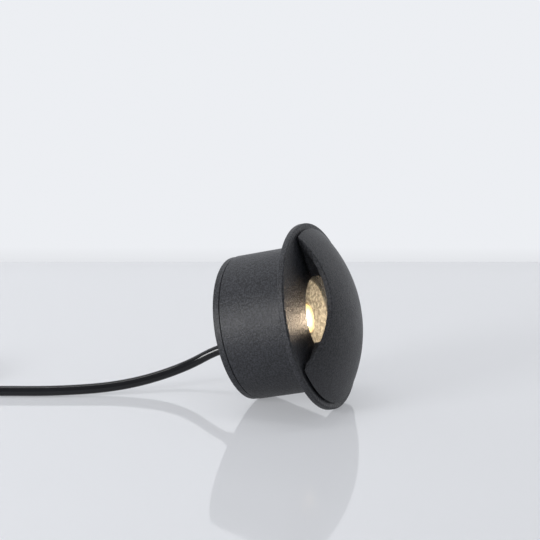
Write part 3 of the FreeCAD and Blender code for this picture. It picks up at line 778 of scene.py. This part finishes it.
@dataclass(frozen=True)
class SupplyCord:
    """The two-core cord: out of the bush, down to the table, into a tied coil, and its bare end.

    Its route and its coil are in millimetres. A lift of the tail is a share of the tail's length and
    a height in diameters.
    """

    diameter: float = 4.4
    route: tuple = (
        (0.0, 9.47, 26.79),
        (0.0, 30.1, 21.3),
        (-3.5, 48.4, 9.2),
        (-21.0, 68.4, 3.3),
        (-37.2, 92.1, 2.2),
        (-49.3, 118.9, 2.2),
    )
    coil_centre: tuple = (-40.4, 160.2)
    coil_diameter: float = 48.0
    entry_angle: float = 205.4
    tail_angle: float = 90.0
    tail_length: float = 36.0
    tail_lifts: tuple = ((0.2, 1.0), (0.36, 0.85), (0.6, 0.2), (0.8, 0.0), (1.0, 0.0))
    points_per_turn: int = 18
    full_turns: int = 5
    turns_in: float = 2.62
    turns_up: float = 0.38
    length: float = 0.92
    smoothness: int = 8
    curve_order: int = 3

    def on_coil(self, radius: float, angle: float, level: float) -> Vector:
        """A point over the table about the coil's centre.

        Args:
            radius: its distance from the centre.
            angle: its direction in degrees.
            level: its height.

        Returns:
            The point in millimetres.
        """
        turn = math.radians(angle)
        centre = Vector((*self.coil_centre, level))
        return centre + Vector((radius * math.cos(turn), radius * math.sin(turn), 0.0))

    def wound(self, turned: float) -> tuple:
        """The radius and level after some turns: inwards on the table, up at the eye, outwards on top.

        Args:
            turned: the turns made so far.

        Returns:
            The radius and the level in millimetres.
        """
        outer = self.coil_diameter / 2 + self.diameter
        low = self.diameter / 2
        if turned <= self.turns_in:
            return outer - self.diameter * turned, low
        eye = outer - self.diameter * self.turns_in
        share = min(1.0, (turned - self.turns_in) / self.turns_up)
        radius = eye + self.diameter * max(0.0, turned - self.turns_in - self.turns_up)
        return radius, low + self.diameter * share * share * (3 - 2 * share)

    def coil_points(self) -> list:
        """The coil's turns, clockwise.

        Returns:
            The control points in millimetres.
        """
        whole = self.full_turns + ((self.entry_angle - self.tail_angle) % 360) / 360
        count = round(whole * self.points_per_turn)
        points = []
        for step in range(count + 1):
            turned = whole * step / count
            radius, level = self.wound(turned)
            points.append(self.on_coil(radius, self.entry_angle - 360 * turned, level))
        return points

    def tail_points(self) -> list:
        """The sheathed end, over the coil's edge and down to the table.

        Returns:
            The control points in millimetres.
        """
        turn = math.radians(self.tail_angle)
        along = Vector((math.sin(turn), -math.cos(turn), 0.0))
        low = self.diameter / 2
        start = self.on_coil(self.coil_diameter / 2 + self.diameter / 2, self.tail_angle, low)
        up = Vector((0.0, 0.0, self.diameter))
        return [start + along * (self.tail_length * share) + up * lift for share, lift in self.tail_lifts]

    def build(self, sheath: bpy.types.Material, tie: bpy.types.Object) -> None:
        """Args:
            sheath: the sheath's material.
            tie: the strap round its coil; not used.
        """
        points = [Vector(point) for point in self.route] + self.coil_points() + self.tail_points()
        data = bpy.data.curves.new("supply_flex", "CURVE")
        data.dimensions = "3D"
        data.bevel_depth = self.diameter * MM / 2
        data.bevel_resolution = self.smoothness
        data.resolution_u = self.smoothness
        data.use_fill_caps = True
        spline = data.splines.new("NURBS")
        spline.points.add(len(points) - 1)
        for control, point in zip(spline.points, points):
            control.co = (*(point * MM), 1.0)
        spline.order_u = self.curve_order
        spline.use_endpoint_u = True
        data.materials.append(sheath)
        cord = add_object("supply_flex", data)
        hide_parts("supply_cord", "cord_coil", "cord_tail")
        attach(cord, "root")
        log.info("made supply_flex: %d points", len(points))


# ---------------------------------------------------------------- pieces turned and moulded for the light


@dataclass
class Workpiece:
    """A piece in the making, in millimetres, with the few moves that shape it.

    Its levels count from a floor, upwards or, with a rise of -1, down from it.
    """

    floor: float = 0.0
    rise: float = 1.0
    mesh: bmesh.types.BMesh = field(default_factory=bmesh.new)
    finishes: list = field(default_factory=list)
    edge_steps: int = 2
    merged: float = 0.002
    crease: float = 0.7

    def __post_init__(self) -> None:
        """Add the mark that tells finished faces from new ones."""
        self.mesh.faces.layers.int.new("finished")

    def lathe(self, outline: list, centre: tuple = (0.0, 0.0), steps: int = 48) -> None:
        """Spin an outline about a line along the light's axis.

        Args:
            outline: pairs of a radius and a level; it is closed unless it begins and ends on the line.
            centre: where the line stands.
            steps: how many steps the full turn has.
        """
        across, up = centre
        verts = [self.mesh.verts.new((across + radius, up, self.floor + self.rise * level))
                 for radius, level in outline]
        pairs = list(zip(verts, verts[1:]))
        if outline[0][0] > 0.0:
            pairs.append((verts[-1], verts[0]))
        edges = [self.mesh.edges.new(pair) for pair in pairs]
        bmesh.ops.spin(self.mesh, geom=verts + edges, cent=(*centre, 0.0), axis=(0.0, 0.0, 1.0),
                       angle=math.tau, steps=steps, use_merge=True)

    def block(self, size: tuple, middle: tuple, soften: float = 0.2, turn: float = 0.0) -> None:
        """Add a block with softened edges.

        Args:
            size: its three sizes.
            middle: where its middle is.
            soften: how wide its softened edges are.
            turn: its turn about its own upright, in degrees.
        """
        verts = bmesh.ops.create_cube(self.mesh, size=1.0)["verts"]
        bmesh.ops.scale(self.mesh, vec=size, verts=verts)
        bmesh.ops.rotate(self.mesh, matrix=Matrix.Rotation(math.radians(turn), 3, "Z"), verts=verts)
        across, up, level = middle
        bmesh.ops.translate(self.mesh, vec=(across, up, self.floor + self.rise * level), verts=verts)
        edges = list({edge for vert in verts for edge in vert.link_edges})
        bmesh.ops.bevel(self.mesh, geom=edges, offset=soften, offset_type="OFFSET",
                        segments=self.edge_steps, profile=0.5, affect="EDGES", material=-1)

    def stand(self, block: tuple, place: tuple, turn: float = 0.0) -> None:
        """Add a block from its size, the level of its middle and its softening."""
        size, level, soften = block
        self.block(size, (*place, level), soften, turn)

    def paint(self, finish: bpy.types.Material) -> None:
        """Give this finish to every face that has none yet.

        Args:
            finish: the material.
        """
        mark = self.mesh.faces.layers.int["finished"]
        for face in self.mesh.faces:
            if not face[mark]:
                face[mark] = 1
                face.material_index = len(self.finishes)
        self.finishes.append(finish)

    def fit(self, name: str, node: str, place: Matrix = None) -> bpy.types.Object:
        """Close the mesh, put it in the frame and let it stand for its node.

        Args:
            name: the piece's name.
            node: the CAD node that it stands for.
            place: from the mesh's millimetres to the frame's metres, if not about the light's axis.

        Returns:
            The object.
        """
        bmesh.ops.remove_doubles(self.mesh, verts=self.mesh.verts, dist=self.merged)
        bmesh.ops.recalc_face_normals(self.mesh, faces=self.mesh.faces)
        for face in self.mesh.faces:
            face.smooth = True
        for edge in self.mesh.edges:
            edge.smooth = edge.calc_face_angle(0.0) < self.crease
        bmesh.ops.transform(self.mesh, matrix=place or AXIS.matrix(), verts=self.mesh.verts)
        data = bpy.data.meshes.new(name)
        self.mesh.to_mesh(data)
        self.mesh.free()
        for finish in self.finishes:
            data.materials.append(finish)
        piece = add_object(name, data)
        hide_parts(node)
        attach(piece, "root")
        log.info("made %s: %d faces", name, len(data.polygons))
        return piece


@dataclass(frozen=True)
class CordBush:
    """Rubber bush: a ribbed, tapered relief that leans with the cord, a collar, a neck and a barb.

    Tip and root are a radius and a level; collar is a radius and its two levels, and so is barb. A
    rib is pairs of what it adds to the taper's radius and its share of the way to the next rib.
    """

    drop: float = 6.0
    bore: float = 2.25
    tip: tuple = (2.9, -43.4)
    root: tuple = (4.1, -35.7)
    ribs: int = 6
    rib: tuple = ((-0.12, 0.0), (0.0, 0.0935), (0.05, 0.55), (-0.1, 0.62), (-0.55, 0.68), (-0.51, 0.95))
    collar: tuple = (5.5, -35.5, -33.92)
    rounding: float = 0.4
    neck: float = 4.0
    barb: tuple = (5.45, -28.1, -23.4)
    barb_edge: float = 0.5
    lean: tuple = (-0.53, -1.06)

    def slant(self) -> Matrix:
        """Slant the relief so that its tip goes where the cord bends away.

        Returns:
            The transform.
        """
        root, tip = self.root[1], self.tip[1]
        tilt = Matrix.Shear("XY", 4, [share / (tip - root) for share in self.lean])
        return Matrix.Translation((0.0, 0.0, root)) @ tilt @ Matrix.Translation((0.0, 0.0, -root))

    def relief(self) -> list:
        """The ribbed outside of the strain relief, from its tip to its root.

        Returns:
            Pairs of a radius and a level.
        """
        outline = []
        (thin, low), (thick, high) = self.tip, self.root
        for rib in range(self.ribs):
            radius = thin + (thick - thin) * rib / self.ribs
            outline += [(radius + more, low + (high - low) * (rib + share) / self.ribs)
                        for more, share in self.rib]
        return outline

    def build(self, rubber: bpy.types.Material) -> None:
        """Turn the bush.

        Args:
            rubber: its finish.
        """
        wide, back, front = self.collar
        end, start, finish = self.barb
        outline = [(self.bore, self.tip[1])] + self.relief()
        ease = self.rounding / 4
        outline += [(self.neck, back), (wide - self.rounding, back), (wide - ease, back + ease)]
        outline += [(wide, back + self.rounding), (wide, front), (self.neck, front), (self.neck, start)]
        outline += [(end, start), (end, start + self.barb_edge), (self.neck, finish), (self.bore, finish)]
        work = Workpiece()
        work.lathe(outline, (0.0, -self.drop))
        free = [vert for vert in work.mesh.verts if vert.co.z < self.root[1]]
        bmesh.ops.transform(work.mesh, matrix=self.slant(), verts=free)
        work.paint(rubber)
        work.fit("ribbed_cord_bush", "cord_bush")


@dataclass(frozen=True)
class CoilTie:
    """Releasable strap round the coil's turns: a ridged band, its head, its latch and its free end.

    The band is pairs of a distance from the coil's centre and a height, and its corners above the
    foot are rounded; the head, the latch and the end are each a size, what they add to the head's
    distance and a height, and a softening.
    """

    centre: tuple = (-40.4, 160.2)
    angle: float = 330.0
    width: float = 4.8
    band: tuple = ((13.4, 0.05), (13.4, 3.2), (16.6, 9.75), (27.3, 9.75), (28.9, 4.2), (28.9, 0.05))
    thickness: float = 0.8
    corner: float = 1.4
    corner_steps: int = 5
    foot: float = 1.0
    ridges: int = 9
    ridge: tuple = (0.45, 3.6, 0.5)
    ridge_edge: float = 0.12
    ridge_lift: float = 0.08
    ridge_margin: float = 1.6
    head: float = 29.8
    fittings: tuple = (
        ((2.6, 6.4, 4.4), 0.0, 3.0, 0.5),
        ((1.0, 2.8, 1.1), 1.25, 3.0, 0.2),
        ((0.8, 4.0, 3.6), 0.4, 6.4, 0.3),
    )

    def strap(self, work: Workpiece) -> None:
        """Bend the band round the turns and give it its thickness.

        Args:
            work: the mesh it goes into.
        """
        mesh = work.mesh
        verts = [mesh.verts.new((radius, -self.width / 2, level)) for radius, level in self.band]
        edges = [mesh.edges.new(pair) for pair in zip(verts, verts[1:] + verts[:1])]
        grown = bmesh.ops.extrude_edge_only(mesh, edges=edges)["geom"]
        moved = [item for item in grown if isinstance(item, bmesh.types.BMVert)]
        bmesh.ops.translate(mesh, vec=(0.0, self.width, 0.0), verts=moved)
        bends = [edge for edge in mesh.edges if len(edge.link_faces) == 2 and edge.verts[0].co.z > self.foot]
        bmesh.ops.bevel(mesh, geom=bends, offset=self.corner, offset_type="OFFSET",
                        segments=self.corner_steps, profile=0.5, affect="EDGES", material=-1)
        bmesh.ops.recalc_face_normals(mesh, faces=mesh.faces)
        bmesh.ops.solidify(mesh, geom=list(mesh.faces), thickness=self.thickness)

    def build(self, plastic: bpy.types.Material) -> bpy.types.Object:
        """Make the strap, its ridges, its head and its free end.

        Args:
            plastic: its finish.

        Returns:
            The object.
        """
        work = Workpiece()
        self.strap(work)
        (left, top), right = self.band[2], self.band[3][0]
        for index in range(self.ridges):
            share = index / (self.ridges - 1)
            across = left + self.ridge_margin + (right - left - 2 * self.ridge_margin) * share
            work.block(self.ridge, (across, 0.0, top + self.ridge_lift), self.ridge_edge)
        for size, out, height, soften in self.fittings:
            work.block(size, (self.head + out, 0.0, height), soften)
        work.paint(plastic)
        place = Matrix.Translation(Vector((*self.centre, 0.0)) * MM)
        place = place @ Matrix.Rotation(math.radians(self.angle), 4, "Z") @ Matrix.Scale(MM, 4)
        return work.fit("ridged_coil_tie", "coil_tie", place)


@dataclass(frozen=True)
class Emitter:
    """Lit emitter: the domed lit fill, the base and the dam ring round the fill, and solder pads.

    Each outline is pairs of a radius and a level.
    """

    fill: tuple = ((0.0, -3.94), (3.66, -3.97), (5.49, -4.06), (6.15, -4.16), (6.15, -4.4), (0.0, -4.4))
    base: tuple = ((0.0, -4.3), (6.85, -4.3), (7.0, -4.45), (7.0, -5.18), (0.0, -5.18))
    dam: tuple = ((6.1, -4.35), (6.1, -4.05), (6.22, -3.95), (6.6, -3.95), (6.75, -4.1), (6.75, -4.35))
    pad: tuple = (0.9, 1.8, 0.16)
    pad_place: tuple = (6.9, -4.6)
    pad_edge: float = 0.06

    def build(self, lit: bpy.types.Material, ceramic: bpy.types.Material,
              solder: bpy.types.Material) -> None:
        """Turn the fill, the base and the dam, and add the pads.

        Args:
            lit: the fill's finish.
            ceramic: the base's and dam's finish.
            solder: the pads' finish.
        """
        work = Workpiece()
        work.lathe(self.fill)
        work.paint(lit)
        work.lathe(self.base)
        work.lathe(self.dam)
        work.paint(ceramic)
        reach, level = self.pad_place
        for side in (-1, 1):
            work.block(self.pad, (side * reach, 0.0, level), self.pad_edge)
        work.paint(solder)
        work.fit("lit_emitter", "led_emitter")


@dataclass(frozen=True)
class DriverParts:
    """The wound and moulded parts on both faces of the driver board.

    An outline is pairs of a radius and a height over the face that the part stands on. A block is its
    size, the height of its middle over that face, and how wide its softened edges are.
    """

    front: float = -17.0
    back: float = -18.6
    steps: int = 32
    film_place: tuple = (-4.0, 9.0)
    film_case: tuple = ((10.0, 5.0, 4.9), 3.05, 0.45)
    film_potting: tuple = ((8.6, 3.6, 0.5), 0.5, 0.1)
    film_pin: tuple = ((0.0, 0.02), (0.75, 0.02), (0.35, 0.3), (0.3, 0.5), (0.0, 0.5))
    film_pin_reach: float = 3.75
    film_pin_steps: int = 16
    rectifier_place: tuple = (-6.0, -9.0)
    rectifier_body: tuple = ((6.5, 4.0, 2.25), 1.375, 0.3)
    rectifier_notch: tuple = ((1.2, 1.2, 0.14), 2.51, 0.05)
    rectifier_notch_reach: float = -2.15
    rectifier_notch_turn: float = 45.0
    rectifier_leg_reach: float = 1.9
    rectifier_feet: tuple = ((2.3, ((1.0, 0.8, 0.3), 0.17, 0.08)), (2.05, ((1.0, 0.3, 1.1), 0.7, 0.08)))
    connector_radius: float = 12.5
    connector_turn: float = 335.3
    connector_body: tuple = ((6.0, 8.0, 5.1), 2.55, 0.45)
    connector_rib: tuple = ((0.6, 5.0, 2.2), 1.6, 0.15)
    connector_rib_reach: float = 2.8
    connector_socket: tuple = ((0.72, 4.9), (0.72, 5.5), (0.85, 5.6), (1.2, 5.6), (1.35, 5.45), (1.5, 4.9))
    lead_spacing: float = 3.6
    can_place: tuple = (-12.5, 2.0)
    can_sleeve: tuple = ((2.35, 6.7), (2.9, 6.8), (3.15, 6.45), (3.15, 1.6), (2.9, 1.4), (2.9, 1.1),
                         (3.15, 0.9), (3.15, 0.3), (2.85, 0.05), (2.35, 0.05))
    can: tuple = ((0.0, 6.68), (2.37, 6.68), (2.37, 0.06), (0.0, 0.06))
    can_steps: int = 48
    can_score: tuple = ((3.6, 0.18, 0.1), 6.7, 0.03)
    can_score_turns: tuple = (0.0, 90.0)
    core_place: tuple = (10.9, -2.0)
    core_plate: tuple = ((12.0, 11.0, 1.32), 3.3, 0.25)
    core_plate_lift: float = 2.64
    core_leg: tuple = ((1.5, 11.0, 5.28), 3.3, 0.2)
    core_leg_reach: float = 5.25
    winding: tuple = (6.0, 5.85)
    winding_heights: tuple = (1.32, 5.28)
    winding_layers: int = 8
    winding_steps: int = 64
    terminal_place: tuple = (-3.0, 8.5)
    terminal_body: tuple = ((8.0, 7.0, 6.4), 3.2, 0.3)
    terminal_well: tuple = ((1.3, 6.5), (1.3, 6.75), (1.4, 6.8), (1.65, 6.8), (1.75, 6.7), (1.75, 6.3),
                            (1.3, 6.3))
    terminal_screw: tuple = ((0.0, 6.5), (1.05, 6.5), (1.2, 6.38), (1.2, 6.2), (0.0, 6.2))
    terminal_slot: tuple = ((1.9, 0.3, 0.16), 6.53, 0.05)
    terminal_slot_turn: float = 35.0
    terminal_reach: float = 2.0

    def film(self, case: bpy.types.Material, potting: bpy.types.Material,
             tin: bpy.types.Material) -> None:
        """Build the boxed film capacitor: its case, the potting in its foot and two pins.

        Args:
            case: the case's finish.
            potting: the potting's finish.
            tin: the pins' finish.
        """
        across, up = self.film_place
        work = Workpiece(self.front)
        work.stand(self.film_case, self.film_place)
        work.paint(case)
        work.stand(self.film_potting, self.film_place)
        work.paint(potting)
        for side in (-1, 1):
            pin = (across + side * self.film_pin_reach, up)
            work.lathe(self.film_pin, pin, self.film_pin_steps)
        work.paint(tin)
        work.fit("boxed_capacitor", "film_capacitor")

    def rectifier(self, moulding: bpy.types.Material, tin: bpy.types.Material) -> None:
        """Build the bridge rectifier: a moulded body with a notch and four bent legs.

        Args:
            moulding: the body's finish.
            tin: the legs' finish.
        """
        across, up = self.rectifier_place
        work = Workpiece(self.front)
        work.stand(self.rectifier_body, self.rectifier_place)
        notch = (across + self.rectifier_notch_reach, up)
        work.stand(self.rectifier_notch, notch, self.rectifier_notch_turn)
        work.paint(moulding)
        for end in (-1, 1):
            for side in (-1, 1):
                for reach, block in self.rectifier_feet:
                    place = (across + end * self.rectifier_leg_reach, up + side * reach)
                    work.stand(block, place)
        work.paint(tin)
        work.fit("legged_rectifier", "bridge_rectifier")

    def connector(self, moulding: bpy.types.Material) -> None:
        """Build the output connector: a body with two collared sockets and two ribs.

        Args:
            moulding: its finish.
        """
        turn = Matrix.Rotation(math.radians(self.connector_turn), 2)
        work = Workpiece(self.front)
        middle = turn @ Vector((self.connector_radius, 0.0))
        work.stand(self.connector_body, middle, self.connector_turn)
        for side in (-1, 1):
            rib = middle + turn @ Vector((side * self.connector_rib_reach, 0.0))
            work.stand(self.connector_rib, rib, self.connector_turn)
            socket = middle + turn @ Vector((0.0, side * self.lead_spacing / 2))
            work.lathe(self.connector_socket, socket, self.steps)
        work.paint(moulding)
        work.fit("collared_connector", "output_connector")

    def capacitor(self, sleeve: bpy.types.Material, can: bpy.types.Material) -> None:
        """Turn the capacitor's sleeved can, with its crimp and its scored top.

        Args:
            sleeve: the sleeve's finish.
            can: the bare top's finish.
        """
        work = Workpiece(self.back, -1.0)
        work.lathe(self.can_sleeve, self.can_place, self.can_steps)
        work.paint(sleeve)
        work.lathe(self.can, self.can_place, self.can_steps)
        for turn in self.can_score_turns:
            work.stand(self.can_score, self.can_place, turn)
        work.paint(can)
        work.fit("sleeved_capacitor", "electrolytic_capacitor")

    def transformer(self, ferrite: bpy.types.Material, tape: bpy.types.Material) -> None:
        """Build the transformer: ferrite plates and legs round a taped winding.

        Args:
            ferrite: the core's finish.
            tape: the winding's finish.
        """
        across, up = self.core_place
        size, height, soften = self.core_plate
        work = Workpiece(self.back, -1.0)
        for end in (-1, 1):
            work.stand((size, height - end * self.core_plate_lift, soften), self.core_place)
            work.stand(self.core_leg, (across + end * self.core_leg_reach, up))
        work.paint(ferrite)
        low, high = self.winding_heights
        rise = (high - low) / self.winding_layers
        count = self.winding_layers + 1
        layers = [(self.winding[index % 2], high - rise * index) for index in range(count)]
        work.lathe([(0.0, high), *layers, (0.0, low)], self.core_place, self.winding_steps)
        work.paint(tape)
        work.fit("taped_transformer", "transformer")

    def terminals(self, moulding: bpy.types.Material, screw: bpy.types.Material) -> None:
        """Build the terminal block: a moulded body with two collared wells and a slotted screw in each.

        Args:
            moulding: the body's finish.
            screw: the screws' finish.
        """
        across, up = self.terminal_place
        wells = [(side, (across + side * self.terminal_reach, up)) for side in (-1, 1)]
        work = Workpiece(self.back, -1.0)
        work.stand(self.terminal_body, self.terminal_place)
        for _, well in wells:
            work.lathe(self.terminal_well, well, self.steps)
        work.paint(moulding)
        for side, well in wells:
            work.lathe(self.terminal_screw, well, self.steps)
            work.stand(self.terminal_slot, well, side * self.terminal_slot_turn)
        work.paint(screw)
        work.fit("screw_terminals", "terminal_block")


# ---------------------------------------------------------------- putting it together


CAD_FINISHES = (
    (PowderCoat(), ("eyelid_hood", "housing_barrel", "rear_cap")),
    (PowderCoat("wrinkled_powder_coat", peel=1.4, peel_depth=0.29), ("bezel",)),
    (PeenedReflector(), ("reflector",)),
    (WindowGlass(), ("window_glass",)),
    (Plastic("white_solder_mask", (0.78, 0.78, 0.75), (0.84, 0.84, 0.82)), ("led_board",)),
    (Plastic("grey_pad_silicone", (0.4, 0.42, 0.45), (0.5, 0.52, 0.55), (0.6, 0.8)), ("thermal_pad",)),
    (Plastic("green_solder_mask", (0.02, 0.12, 0.05), (0.03, 0.18, 0.08), (0.25, 0.35)), ("driver_board",)),
    (Plastic("red_insulation_pvc", (0.45, 0.02, 0.015), (0.55, 0.04, 0.03)), ("lead_red",)),
    (Plastic("brown_insulation_pvc", (0.12, 0.045, 0.02), (0.17, 0.07, 0.03)),
     ("core_brown", "tail_core_brown")),
    (Plastic("blue_insulation_pvc", (0.02, 0.08, 0.38), (0.03, 0.12, 0.48)),
     ("core_blue", "tail_core_blue")),
    (Metal("turned_brass", (0.62, 0.44, 0.18), (0.72, 0.54, 0.25)), ("driver_standoffs",)),
    (Metal("tinned_copper", (0.72, 0.38, 0.22), (0.78, 0.46, 0.30)), ("bare_tips",)),
)
CORD_SHEATH = Rubber("cord_sheath_gloss", (0.005, 0.0055, 0.0075), (0.009, 0.0095, 0.012), (0.13, 0.19))
BLACK = Plastic("black_moulding", (0.015, 0.015, 0.015), (0.03, 0.03, 0.03))
GREEN = Plastic("green_moulding", (0.05, 0.25, 0.1), (0.07, 0.32, 0.13))
YELLOW = Plastic("yellow_moulding", (0.6, 0.38, 0.05), (0.7, 0.48, 0.09))
SLEEVE = Plastic("capacitor_sleeve_film", (0.01, 0.015, 0.05), (0.02, 0.03, 0.08), (0.2, 0.3))
TAPE = Plastic("winding_tape", (0.55, 0.40, 0.05), (0.62, 0.48, 0.08), (0.25, 0.35))
CERAMIC = Plastic("emitter_ceramic", (0.34, 0.28, 0.19), (0.40, 0.33, 0.23))
STEEL = Metal("plain_steel", (0.50, 0.50, 0.49), (0.60, 0.60, 0.59))
ALUMINIUM = Metal("turned_aluminium", (0.66, 0.67, 0.68), (0.75, 0.76, 0.77))
SOLDER = Metal("solder_tin", (0.62, 0.62, 0.60), (0.70, 0.70, 0.69))


def dress(names: tuple, finish: bpy.types.Material) -> None:
    """Give CAD nodes a finish.

    Args:
        names: the nodes.
        finish: their material.
    """
    for name in names:
        node = frame["nodes"][name]
        node.data.materials.clear()
        node.data.materials.append(finish)
        log.info("dressed %s in %s", name, finish.name)


def main() -> None:
    """Build the scene: camera and cord first, then the stage and the rest of the light."""
    logging.basicConfig(level=logging.INFO)
    bpy.context.scene.view_settings.view_transform = "Standard"
    view = ViewPoint()
    view.make()
    black, rubber = BLACK.make(), Rubber().make()
    SupplyCord().build(CORD_SHEATH.make(), CoilTie().build(black))
    Stage().build(view)
    MouthGlow().build()
    for finish, names in CAD_FINISHES:
        dress(names, finish.make())
    steel, aluminium, solder, ceramic = (finish.make() for finish in (STEEL, ALUMINIUM, SOLDER, CERAMIC))
    dress(("window_gasket", "front_seal", "rear_seal"), rubber)
    dress(("hood_screws", "tie_screws", "board_screws", "driver_screws"), steel)
    dress(("retaining_ring", "heat_spreader"), aluminium)
    dress(("lead_black",), black)
    CordBush().build(rubber)
    Emitter().build(LitPhosphor().make(), ceramic, solder)
    parts = DriverParts()
    parts.capacitor(SLEEVE.make(), aluminium)
    parts.transformer(black, TAPE.make())
    parts.terminals(GREEN.make(), steel)
    parts.film(YELLOW.make(), ceramic, solder)
    parts.rectifier(black, solder)
    parts.connector(black)


if __name__ == "__main__":
    main()
